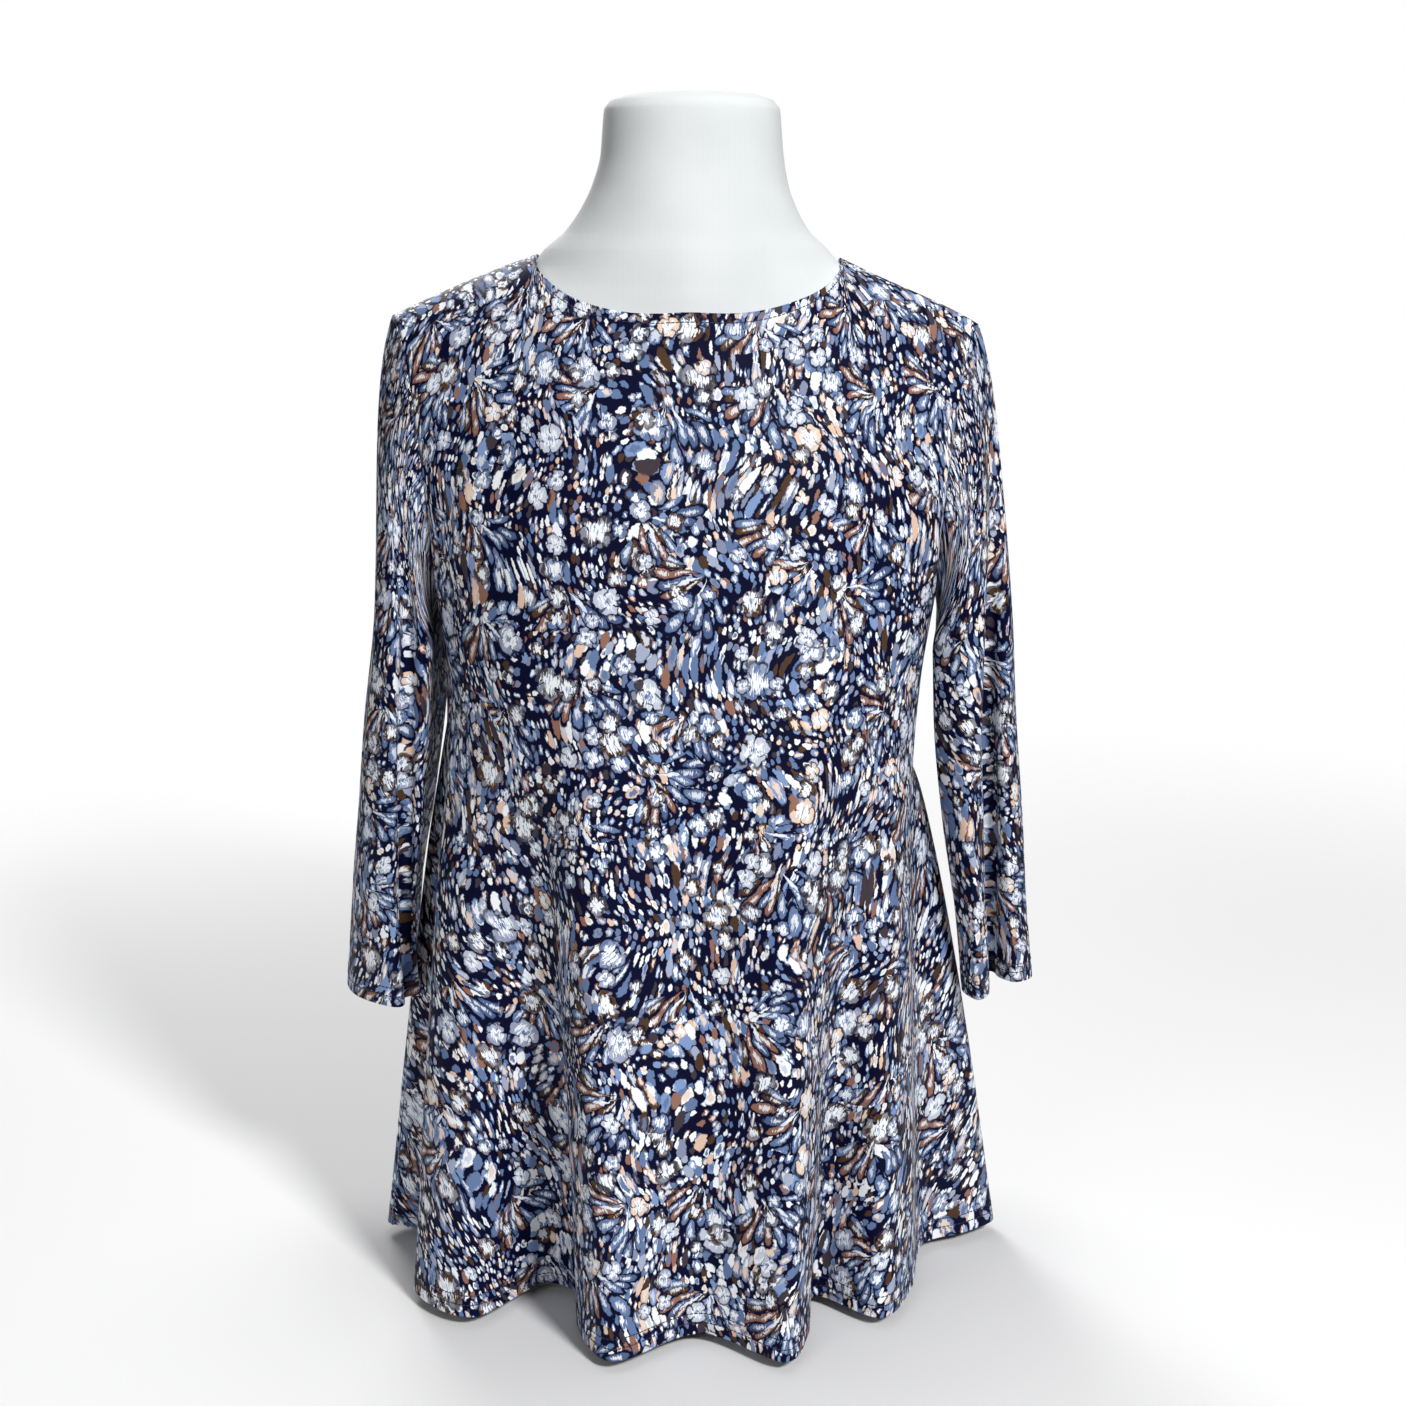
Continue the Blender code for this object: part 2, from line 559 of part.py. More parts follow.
def blouse():
    front = body_panel(FRONT_FOLDS, FRONT_COLUMN, True)
    back = body_panel(BACK_FOLDS, BACK_COLUMN, False)
    right = sleeve(RIGHT_SLEEVE_SECTIONS, RIGHT_SLEEVE_FOLDS, 1, armhole(front, back, 1))
    left = sleeve(LEFT_SLEEVE_SECTIONS, LEFT_SLEEVE_FOLDS, -1, armhole(front, back, -1))
    grids = {"front": front, "back": back, 1: right, -1: left}
    out = {"front": outward(front, False), "back": outward(back, False)}
    out[1] = -outward(right, True)
    out[-1] = outward(left, True)
    inwards = {key: -normal for key, normal in out.items()}
    moves = {key: np.zeros_like(grid) for key, grid in grids.items()}

    for side, column_front, column_back in ((-1, 0, -1), (1, -1, 0)):
        sew_side(grids, out, inwards, moves, column_front, column_back)
        sew_armhole(grids, out, inwards, moves, side, column_front, column_back)
    sew_shoulder(front, inwards["front"], moves["front"], shoulder_columns(FRONT_FOLDS, FRONT_COLUMN))
    sew_shoulder(back, inwards["back"], moves["back"], shoulder_columns(BACK_FOLDS, BACK_COLUMN))
    for key, grid in grids.items():
        grid += moves[key]

    return [
        wall_mesh("front_panel", front, inwards["front"], False, False),
        wall_mesh("back_panel", back, inwards["back"], False, False),
        wall_mesh("right_sleeve", right, inwards[1], True, True),
        wall_mesh("left_sleeve", left, inwards[-1], True, False),
    ]


def shoulder_columns(folds, spacing):
    angles = panel_angles(folds, spacing)
    return [i for i, angle in enumerate(angles) if abs(share_of(angle)) >= NECK_CORNER - 1e-6]


def main():
    for obj in list(bpy.data.objects):
        bpy.data.objects.remove(obj, do_unlink=True)
    knit = material("printed_jersey", PRINT_BLUE, 0.62)
    cover = material("white_jersey_cover", COTTON_WHITE, 0.75)
    for piece in blouse():
        piece.data.materials.append(knit)
    dress_form().data.materials.append(cover)


main()
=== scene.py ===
import math
from functools import partial

import bmesh
import bpy
import numpy as np
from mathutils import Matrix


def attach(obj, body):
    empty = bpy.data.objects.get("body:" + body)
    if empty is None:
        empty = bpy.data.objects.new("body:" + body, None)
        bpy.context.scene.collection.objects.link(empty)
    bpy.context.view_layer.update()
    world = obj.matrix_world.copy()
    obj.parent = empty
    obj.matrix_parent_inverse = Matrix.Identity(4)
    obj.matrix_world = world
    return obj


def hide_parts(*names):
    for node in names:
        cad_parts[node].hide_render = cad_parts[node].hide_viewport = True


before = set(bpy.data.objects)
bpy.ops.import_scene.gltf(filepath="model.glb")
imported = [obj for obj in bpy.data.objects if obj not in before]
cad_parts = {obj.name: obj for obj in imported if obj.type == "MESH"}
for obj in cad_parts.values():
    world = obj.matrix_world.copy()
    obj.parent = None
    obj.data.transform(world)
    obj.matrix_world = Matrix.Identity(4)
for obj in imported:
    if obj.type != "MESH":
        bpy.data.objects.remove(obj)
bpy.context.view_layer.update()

# A printed jersey tunic blouse on a white dress form. Metres, +Z up, the front faces -Y.
# Every cloth piece is a fine grid shaped on the same folds as its solid, with its edges
# turned in, a map in metres of cloth for the print, and the machine stitches that show.


def smoothColumn(rows, column, heights):  # a cubic through one column of a table, by height
    rows = sorted(rows, key=lambda row: row[0])
    z = np.array([row[0] for row in rows])
    v = np.array([row[column] for row in rows])
    step = np.diff(z)
    slope = np.diff(v) / step
    rate = np.zeros_like(v)
    rate[0], rate[-1] = slope[0], slope[-1]
    for k in range(1, len(v) - 1):
        if slope[k - 1] * slope[k] > 0:
            rate[k] = 2 * slope[k - 1] * slope[k] / (slope[k - 1] + slope[k])
    k = np.clip(np.searchsorted(z, heights) - 1, 0, len(step) - 1)
    t = np.clip((heights - z[k]) / step[k], 0, 1)
    blend = t * t * (3 - 2 * t)
    bend = step[k] * (t * (1 - t) ** 2 * rate[k] - t * t * (1 - t) * rate[k + 1])
    return (1 - blend) * v[k] + blend * v[k + 1] + bend


def hermite(start, leave, end, arrive, t):
    a = 2 * t**3 - 3 * t**2 + 1
    return a * start + (t**3 - 2 * t**2 + t) * leave + (1 - a) * end + (t**3 - t**2) * arrive


def loopPoints(nodes, where):  # places on the smooth closed curve through the nodes
    count = len(nodes)
    k = np.floor(where).astype(int)
    t = (where - k)[:, None]
    a, b, c, d = (nodes[(k + i) % count] for i in (-1, 0, 1, 2))
    ab, bc, cd = (np.maximum(np.linalg.norm(q - p, axis=1, keepdims=True), 1e-6) ** 0.5
                  for p, q in ((a, b), (b, c), (c, d)))
    leave = bc * ((b - a) / ab - (c - a) / (ab + bc) + (c - b) / bc)
    arrive = bc * ((c - b) / bc - (d - b) / (bc + cd) + (d - c) / cd)
    return hermite(b, leave, c, arrive, t)


def unit(vectors):
    return vectors / np.maximum(np.linalg.norm(vectors, axis=-1, keepdims=True), 1e-9)


def ovalPoints(angles, left, right, front, back, roundness):
    side, ahead = np.sin(np.radians(angles)), np.cos(np.radians(angles))
    x = np.where(side > 0, right, left) * np.sign(side) * abs(side) ** (2 / roundness)
    y = np.where(ahead > 0, -front, back) * abs(ahead) ** (2 / roundness)
    return np.stack([x, y], axis=-1)


body = {
    "hemHeight": 0.008,
    "underarmHeight": 0.490,
    "roundness": 2.25,
    # height, then the reach to the left, right, front and back of cloth with no folds
    "sections": (
        (0.008, 0.172, 0.158, 0.136, 0.104),
        (0.300, 0.173, 0.158, 0.137, 0.106),
        (0.370, 0.1715, 0.159, 0.138, 0.108),
        (0.430, 0.1705, 0.163, 0.137, 0.112),
        (0.490, 0.177, 0.172, 0.131, 0.115),
    ),
    "bust": {"height": 0.452, "angle": 30.0, "swell": 0.007, "spread": 24.0, "rise": 0.055},
    # each fold: angle, where it meets the hem in x and y, the height it starts at, how it opens
    "frontFolds": (
        (-90, -0.2268, 0.0120, 0.400, 0.90),
        (-81, -0.1880, -0.0110, 0.380, 1.10),
        (-69, -0.1925, -0.1020, 0.400, 0.85),
        (-57, -0.1500, -0.1400, 0.400, 1.05),
        (-40, -0.1000, -0.0890, 0.430, 1.05),
        (-33.5, -0.0745, -0.1090, 0.430, 1.00),
        (-28, -0.0765, -0.1500, 0.440, 0.95),
        (-22, -0.0520, -0.2010, 0.450, 1.00),
        (1, 0.0075, -0.1630, 0.440, 1.00),
        (25, 0.0650, -0.2020, 0.450, 1.00),
        (31.5, 0.0805, -0.1650, 0.440, 0.95),
        (47, 0.0885, -0.1090, 0.430, 1.05),
        (57, 0.1320, -0.1410, 0.410, 1.00),
        (68, 0.1565, -0.0980, 0.390, 0.90),
        (78, 0.1735, -0.0250, 0.370, 0.90),
        (84, 0.2070, -0.0060, 0.365, 0.80),
        (90, 0.2300, 0.0180, 0.365, 0.75),
    ),
    "backFolds": (
        (90, 0.2300, 0.018, 0.365, 0.75),
        (104, 0.1860, 0.060, 0.380, 0.90),
        (119, 0.1720, 0.128, 0.400, 0.95),
        (135, 0.1080, 0.104, 0.420, 1.10),
        (153, 0.0720, 0.168, 0.440, 1.05),
        (178, 0.0060, 0.134, 0.440, 1.00),
        (205, -0.0640, 0.172, 0.430, 1.00),
        (225, -0.1120, 0.103, 0.420, 1.10),
        (241, -0.1660, 0.132, 0.400, 0.95),
        (256, -0.1850, 0.056, 0.390, 1.00),
        (270, -0.2268, 0.012, 0.400, 0.90),
    ),
    "columnSpacing": 0.0048,
    "fewestColumns": 4,  # between two folds
    "rowSpacing": 0.0048,
    "climbRows": 52,
    "evenClimb": 0.019,  # the last of the climb has rows of its own, for the stitch line
    "topRows": (0.0152, 0.011, 0.0079, 0.007, 0.0061, 0.004, 0.002, 0.0007, 0),
    "backPrint": 3.1,  # metres that the back's place on the printed cloth lies from the front's
}

shoulder = {
    "ridgeDepth": 0.003,
    "ridgeHeight": 0.746,
    "neckHalfWidth": 0.105,
    "neckPointHeight": 0.722,
    "frontNeckReach": 0.0845,
    "backNeckReach": 0.063,
    "neckRoundness": 2.45,
    "leftTip": (0.2038, 0.681, 0.0),  # reach, height, dip
    "rightTip": (0.1990, 0.675, 0.004),
    "dipStart": 0.06,
    "neckShare": 0.5,  # the part of the half panel that ends at the neck edge
    "sideSwing": (0.024, 0.060),  # how the armhole edge leans in, then out at the ridge
    # share of the half panel, then speed leaving the underarm row and reaching the ridge
    "frontClimb": (
        (0.00, -0.020, 0.420, 0.220, -0.010),
        (0.50, 0.020, 0.280, 0.260, 0.030),
        (0.75, 0.110, 0.170, 0.245, 0.040),
        (1.00, 0.262, 0.045, 0.200, 0.020),
    ),
    "backClimb": (
        (0.00, 0.010, 0.480, 0.150, -0.130),
        (0.50, 0.035, 0.290, 0.255, 0.010),
        (0.75, 0.110, 0.170, 0.245, 0.010),
        (1.00, 0.262, 0.045, 0.200, 0.010),
    ),
}

sewing = {
    "roll": 0.00075,  # how far an edge rolls in before it turns back
    "turnedDepth": 0.0015,
    "hemTurned": 0.018,
    "neckTurned": 0.009,
    "seamTurned": 0.006,
    "hemLines": (0.008, 0.0145),  # the twin needle lines, above the edge
    "neckLine": 0.007,
    "grooveWidth": 0.0007,
    "hemGroove": 0.00022,  # how deep a line of stitching sinks
    "neckGroove": 0.00025,
    "stepStart": 0.0165,  # above it the cloth sinks, because the turned layer ends
    "stepRise": 0.0015,
    "stepDepth": 0.00025,
    "stepEnds": (0.10, 0.08),  # where the body and the sleeves are level again
    "edgeRows": (0, 0.0006, 0.0018, 0.0035, 0.0055, 0.0071, 0.008, 0.0089, 0.0112, 0.0136, 0.0145, 0.0154),
    "evenRows": 0.0172,  # rows are evenly spaced from here
    "seamGap": 0.00012,
    "seamLean": (0.00055, 0.0019),  # how far a seam's edge draws back, where it rolls and turns
    "freeLean": (-0.00026, 0.0008),  # the same on a free edge, which swells a little
    "turnPrint": (0.00075, 0.0016),  # how far the print runs on over the roll and the turn
    "clothThickness": 0.00062,
    "weld": 0.00002,
    "stitchLength": 0.0030,
    "stitchPitch": 0.0032,
    "stitchRadius": 0.00050,  # thicker than the thread, so that it shows
    "stitchLift": 0.00008,
}


def plainPoint(angle, z):  # a place on cloth with no folds
    swell = body["bust"]
    reach = [smoothColumn(body["sections"], column, z) for column in (1, 2, 3, 4)]
    off = (abs(angle) - swell["angle"]) / swell["spread"]
    above = max(0.0, z - swell["height"]) / swell["rise"]
    forward = swell["swell"] * math.exp(-off**2 - above**2)
    return ovalPoints(angle, *reach, body["roundness"]) + [0, -forward]


def bodyNodes(height):
    nodes = []
    for angle, hemX, hemY, startHeight, ease in body["frontFolds"] + body["backFolds"][1:-1]:
        place = plainPoint(angle, height)
        if height < startHeight:
            opened = ((startHeight - height) / (startHeight - body["hemHeight"])) ** ease
            place = place + opened * (np.array([hemX, hemY]) - plainPoint(angle, body["hemHeight"]))
        nodes.append(place)
    return np.array(nodes)


def bodyRow(angles, height):
    starts = [fold[0] for fold in body["frontFolds"] + body["backFolds"][1:]]
    where = np.interp(angles, starts, range(len(starts))) % (len(starts) - 1)
    return np.column_stack([loopPoints(bodyNodes(height), where), np.full(len(angles), height)])


def panelAngles(folds):
    angles = [folds[0][0]]
    for fold, after in zip(folds, folds[1:]):
        hem = math.hypot(after[1] - fold[1], after[2] - fold[2])
        count = max(body["fewestColumns"], round(hem / body["columnSpacing"]))
        angles += list(np.linspace(fold[0], after[0], count + 1)[1:])
    return np.array(angles, float)


def shareOf(angles):  # from -1 at the left seam to 1 at the right one
    return np.where(angles <= 90, angles / 90, (180 - angles) / 90)


def ridgePoints(share):  # along the top of the shoulders
    points = []
    for s in share:
        reach, height, dip = shoulder["rightTip"] if s > 0 else shoulder["leftTip"]
        drop = shoulder["ridgeHeight"] - height
        fall = math.log((shoulder["ridgeHeight"] - shoulder["neckPointHeight"]) / drop)
        power = fall / math.log(shoulder["neckHalfWidth"] / reach)
        sag = np.clip((abs(s) * reach - shoulder["dipStart"]) / (reach - shoulder["dipStart"]), 0, 1)
        z = shoulder["ridgeHeight"] - drop * abs(s) ** power - dip * math.sin(math.pi * sag) ** 2
        points.append((s * reach, shoulder["ridgeDepth"], z))
    return np.array(points)


def chestPoints(share, climbed, front):  # from the underarm row, 0, over the chest or back to the ridge, 1
    part = abs(share)
    table, ahead = (shoulder["frontClimb"], -1) if front else (shoulder["backClimb"], 1)
    shares, *speeds = np.array(table).T
    leaveY, leaveZ, arriveY, arriveZ = (np.interp(part, shares, speed) for speed in speeds)
    base = bodyRow(share * 90 if front else 180 - share * 90, body["underarmHeight"])
    edge = np.sign(share) * part**3
    swingIn, swingOut = shoulder["sideSwing"]
    leave = np.column_stack([-swingIn * edge, ahead * leaveY, leaveZ])
    arrive = np.column_stack([swingOut * edge, -ahead * arriveY, arriveZ])
    return hermite(base, leave, ridgePoints(share), arrive, np.asarray(climbed)[:, None])


def neckPlaces(share, front):  # where the neck edge crosses the cloth over the chest
    turn = math.pi / 2 * share / shoulder["neckShare"]
    reach = -shoulder["frontNeckReach"] if front else shoulder["backNeckReach"]
    roundness = shoulder["neckRoundness"]
    x = shoulder["neckHalfWidth"] * np.sign(turn) * abs(np.sin(turn)) ** (2 / roundness)
    y = shoulder["ridgeDepth"] + reach * abs(np.cos(turn)) ** (2 / roundness)
    found = x / shoulder["rightTip"][0]
    climbed = np.ones_like(found)
    for _ in range(8):  # corrects the place across
        low, high = np.full_like(found, 0.3), np.ones_like(found)
        for _ in range(22):  # halves the range of the climb
            climbed = (low + high) / 2
            beyond = (chestPoints(found, climbed, front)[:, 1] - y) * reach > 0
            low, high = np.where(beyond, climbed, low), np.where(beyond, high, climbed)
        found = found + (x - chestPoints(found, climbed, front)[:, 0]) / shoulder["rightTip"][0]
    return found, climbed


def walked(line):  # the distance along a line to each of its points
    return np.concatenate([[0], np.cumsum(np.linalg.norm(np.diff(line, axis=0), axis=1))])


def sampled(values, walk, distances):  # values at a line's points, read at distances along it
    return np.column_stack([np.interp(distances, walk, values[:, k]) for k in range(3)])


def bodyGrid(folds, front):
    angles = panelAngles(folds)
    share = shareOf(angles)
    even = body["hemHeight"] + sewing["evenRows"]
    count = round((body["underarmHeight"] - even) / body["rowSpacing"])
    heights = [body["hemHeight"] + step for step in sewing["edgeRows"]]
    heights += list(np.linspace(even, body["underarmHeight"], count + 1))
    rows = np.array([bodyRow(angles, z) for z in heights])

    neckShare = shoulder["neckShare"]
    inNeck = abs(share) < neckShare
    reach = np.where(share > 0, shoulder["rightTip"][0], shoulder["leftTip"][0])
    corner = shoulder["neckHalfWidth"] / reach
    topShare = np.sign(share) * (corner + (abs(share) - neckShare) / neckShare * (1 - corner))
    topClimb = np.ones_like(share)
    topShare[inNeck], topClimb[inNeck] = neckPlaces(share[inNeck], front)
    dense = []
    for rise in np.linspace(0, 1, 101):
        dense.append(chestPoints(share + rise * (topShare - share), rise * topClimb, front))
    dense = np.array(dense)
    upper = []
    for column in range(len(angles)):
        walk = walked(dense[:, column])
        lower = np.linspace(0, walk[-1] - body["evenClimb"], body["climbRows"])
        places = np.concatenate([lower, walk[-1] - np.array(body["topRows"])])[1:]
        upper.append(sampled(dense[:, column], walk, places))
    return np.concatenate([rows, np.array(upper).transpose(1, 0, 2)]), inNeck, len(rows) - 1


def flatMap(grid, level):  # across and up, in metres of flat cloth, from the middle of a level row
    widths = np.linalg.norm(np.diff(grid, axis=1), axis=2)
    across = np.concatenate([np.zeros((len(grid), 1)), np.cumsum(widths, axis=1)], axis=1)
    middle = grid.shape[1] // 2
    across = across - across[:, middle:middle + 1]
    length = np.linalg.norm(np.diff(grid, axis=0), axis=2)
    # No step up is less than a fifth of its length.
    step = np.sqrt(np.maximum(length**2 - np.diff(across, axis=0) ** 2, 0.04 * length**2))
    up = np.concatenate([np.zeros((1, grid.shape[1])), np.cumsum(step, axis=0)])
    return np.stack([across, up - up[level]], axis=-1)


def outward(grid, closed):  # the direction out of the cloth at each place
    if closed:
        wrapped = np.concatenate([grid[:, -2:-1], grid, grid[:, 1:2]], axis=1)
        along = wrapped[:, 2:] - wrapped[:, :-2]
    else:
        along = np.gradient(grid, axis=1)
    return unit(np.cross(along, np.gradient(grid, axis=0)))


creaseShape = {
    "wander": 0.35,  # how far a crease strays from its line, in its own widths
    "waves": (23, 90),
    "fade": 1.3,  # how soon it dies away at its ends
}


def softCreases(grid, normals, flat, creases):
    # Each crease runs from low to high at a place across the cloth, leaning as it climbs.
    moved = grid.copy()
    waves, start = creaseShape["waves"]
    for across, low, high, lean, width, depth in creases:
        middle, half = (low + high) / 2, (high - low) / 2
        wander = creaseShape["wander"] * width * np.sin(flat[..., 1] * waves + across * start)
        off = (flat[..., 0] - across - lean * (flat[..., 1] - middle) - wander) / width
        fade = np.clip(1 - ((flat[..., 1] - middle) / half) ** 2, 0, 1) ** creaseShape["fade"]
        moved -= (depth * np.exp(-off**2) * fade)[..., None] * normals
    return moved


def dipAt(distance, line, depth):
    return depth * np.exp(-((distance - line) / sewing["grooveWidth"]) ** 2)


def hemRelief(above, reach):  # the sunk twin lines, and the step where the turned layer ends
    sunk = sum(dipAt(above, line, sewing["hemGroove"]) for line in sewing["hemLines"])
    step = np.clip((above - sewing["stepStart"]) / sewing["stepRise"], 0, 1) * sewing["stepDepth"]
    return sunk + step * (above < reach)


def seamLine(grid, normals, *place):  # where stitches lie just above the cloth, with its normals
    return grid[place] + normals[place] * sewing["stitchLift"], normals[place]


def hemSeams(grid, normals, above):
    rows = [int(np.argmin(abs(above[:, 0] - line))) for line in sewing["hemLines"]]
    return [seamLine(grid, normals, row) for row in rows]


def turnIn(cloth, axis, end, width, seams):
    # One edge rolls in and lies back under the cloth, like a hem or a pressed seam allowance.
    grid, normals, flat = cloth
    last, beside = (0, 1) if end == "first" else (-1, -2)
    edge, inner = np.take(grid, last, axis), np.take(grid, beside, axis)
    normal = np.take(normals, last, axis)
    back = inner - edge
    back = unit(back - np.sum(back * normal, axis=-1, keepdims=True) * normal)
    width, seams = (np.broadcast_to(value, len(edge))[:, None] for value in (width, seams))
    rollLean, turnLean = (np.where(seams, drawn, free)
                          for drawn, free in zip(sewing["seamLean"], sewing["freeLean"]))
    turned = edge - normal * sewing["turnedDepth"]
    rolled = edge - normal * sewing["roll"] + back * rollLean
    layers = [rolled, turned + back * turnLean, turned + back * width]
    flatEdge = np.take(flat, last, axis)
    flatOut = unit(flatEdge - np.take(flat, beside, axis))
    flatLayers = [flatEdge + flatOut * step for step in (*sewing["turnPrint"], width)]
    joined = []
    for whole, extra in ((grid, layers), (normals, [normal] * 3), (flat, flatLayers)):
        extra = [np.expand_dims(layer, axis) for layer in extra]
        joined.append(np.concatenate(extra[::-1] + [whole] if end == "first" else [whole] + extra, axis=axis))
    return joined


def newPiece(name, mesh, materials):
    data = bpy.data.meshes.new(name)
    mesh.to_mesh(data)
    mesh.free()
    for material in materials:
        data.materials.append(material)
    piece = bpy.data.objects.new(name, data)
    bpy.context.scene.collection.objects.link(piece)
    return piece


def gridMesh(grid, mapped):  # a bmesh grid laid on the places, and each vertex's row and column
    rows, columns = grid.shape[:2]
    mesh = bmesh.new()
    if mapped:
        mesh.loops.layers.uv.new("cloth")
    bmesh.ops.create_grid(mesh, x_segments=columns - 1, y_segments=rows - 1, size=0.5)
    place = {}
    for v in mesh.verts:
        place[v] = round((v.co.y + 0.5) * (rows - 1)), round((v.co.x + 0.5) * (columns - 1))
        v.co = grid[place[v]]
    return mesh, place


def clothPiece(name, grid, flat, closed):
    mesh, place = gridMesh(grid, True)
    uv = mesh.loops.layers.uv["cloth"]
    for face in mesh.faces:
        face.smooth = True
        for loop in face.loops:
            loop[uv].uv = flat[place[loop.vert]]
    if closed:
        bmesh.ops.remove_doubles(mesh, verts=mesh.verts[:], dist=sewing["weld"])
    piece = newPiece(name, mesh, (printed, reverse))
    wall = piece.modifiers.new("clothThickness", "SOLIDIFY")
    wall.thickness = sewing["clothThickness"]
    wall.offset = -1
    wall.material_offset = 1
    wall.material_offset_rim = 0
    return piece


def stitching(name, lines):
    # Short rounded stitches laid along lines of points and normals, a few faces each.
    mesh = bmesh.new()
    one = bmesh.new()
    radius, length = sewing["stitchRadius"], sewing["stitchLength"]
    bmesh.ops.create_uvsphere(one, u_segments=6, v_segments=4, radius=0.5)
    bmesh.ops.scale(one, verts=one.verts, vec=(2 * radius, 1.5 * radius, length))
    stitch = bpy.data.meshes.new("oneStitch")
    one.to_mesh(stitch)
    one.free()
    shape = np.array([v.co[:] for v in stitch.vertices])
    for points, normals in lines:
        walk = walked(points)
        count = int(walk[-1] / sewing["stitchPitch"])
        where = (np.arange(count) + 0.5) * walk[-1] / count
        up = unit(sampled(normals, walk, where))
        step = length / 6
        ahead = unit(sampled(points, walk, where + step) - sampled(points, walk, where - step))
        side = unit(np.cross(ahead, up))
        for p, a, b, c in zip(sampled(points, walk, where), side, up, ahead):
            before = len(mesh.verts)
            mesh.from_mesh(stitch)
            mesh.verts.ensure_lookup_table()
            for v, (x, y, z) in zip(mesh.verts[before:], shape):
                v.co = p + x * a + y * b + z * c
    bpy.data.meshes.remove(stitch)
    for face in mesh.faces:
        face.smooth = True
    return newPiece(name, mesh, (thread,))


def linear(hexColour):  # sRGB hex to the linear values that Blender's sockets take
    parts = [int(hexColour[i:i + 2], 16) / 255 for i in (1, 3, 5)]
    return tuple(c / 12.92 if c <= 0.04045 else ((c + 0.055) / 1.055) ** 2.4 for c in parts) + (1.0,)


def plug(node, inputs):  # links a node's sockets or sets them, by name or in their order
    for key, value in inputs.items() if isinstance(inputs, dict) else enumerate(inputs):
        if isinstance(value, bpy.types.NodeSocket):
            node.id_data.links.new(value, node.inputs[key])
        else:
            node.inputs[key].default_value = value


def addNode(tree, kind, inputs=(), operation="", stops=(), sharp=False, **settings):  # set and linked
    node = tree.nodes.new("ShaderNode" + kind)
    if operation:
        node.operation = operation
    for key, value in settings.items():
        setattr(node, key, value)
    plug(node, inputs)
    if stops:
        band = node.color_ramp
        band.interpolation = "CONSTANT" if sharp else "LINEAR"
        while len(band.elements) < len(stops):
            band.elements.new(0.5)
        for element, (place, _) in zip(band.elements, stops):
            element.position = place
        for element, (_, colour) in zip(band.elements, stops):
            element.color = linear(colour)
    return node.outputs


def newMaterial(name):
    material = bpy.data.materials.new(name)
    material.use_nodes = True
    tree = material.node_tree
    return material, tree.nodes["Principled BSDF"], partial(addNode, tree)


flatNoise = {"noise_dimensions": "2D"}
flatCells = {"voronoi_dimensions": "2D"}

printColours = {
    "ground": "#04072A",
    # each ink fills a band that starts at its number, so a wide band is a common ink
    "dabs": ((0.00, "#647AA2"), (0.27, "#858DA8"), (0.35, "#A4AEC6"), (0.43, "#F3F6FA"), (0.60, "#413840"),
             (0.69, "#4E3828"), (0.78, "#E2C2AE"), (0.83, "#946B5C"), (0.90, "#8099C6")),
    "hearts": ((0.00, "#F6F8FB"), (0.52, "#CDD4E3"), (0.64, "#647AA2"), (0.80, "#EBD6C8")),
    "petals": ((0.00, "#969EB8"), (0.15, "#C3CADB"), (0.30, "#523A28"), (0.56, "#464049"),
               (0.78, "#647AA2"), (0.92, "#EBCFB8")),
    "leaves": ((0.00, "#647AA2"), (0.36, "#8FA6CE"), (0.48, "#4F6188"), (0.62, "#8E6658"),
               (0.73, "#533A28"), (0.86, "#D9DFEC")),
    "white": "#F3F6FA",
    "shade": "#BCC4D8",  # washed over parts of the petals
    "blue": "#8094BC",  # brushed over the pale hearts
    "eye": "#6378A2",
}

printScale = {  # millimetres of cloth
    # each kind of dab: width, height, smallest and largest share of its place, share of cloth it covers
    "dabs": ((4.0, 7.6, 0.30, 0.52, 1.0), (6.4, 12.5, 0.36, 0.60, 0.5)),
    "drift": 48.0,  # across the drifts of large dabs
    "flowers": ((34.0, 12.5, 0.46), (20.0, 8.0, 0.40)),  # spacing, reach, share of places that hold one
    "spray": (66.0, 44.0, 0.80),  # the same three for sprays
    "petal": (27, 21.0),  # how many in a full round, and their length
    "fan": (2.4, 0.2, 0.42),  # how far a spray leans in all, half its width in rounds, where petals start
    "swirl": (84.0, 46.0),  # spacing of the swirls, and how far they pull the dabs
    "bend": (26.0, 9.0),  # the same two for the curve of a spray
    "ragged": 1 / 0.36,  # the brush's ragged edge
    "wobble": 8.0,  # the unevenness of a flower's petals
    "wale": 1.5,  # real jersey has about 0.8 mm, drawn coarser so that it shows
}


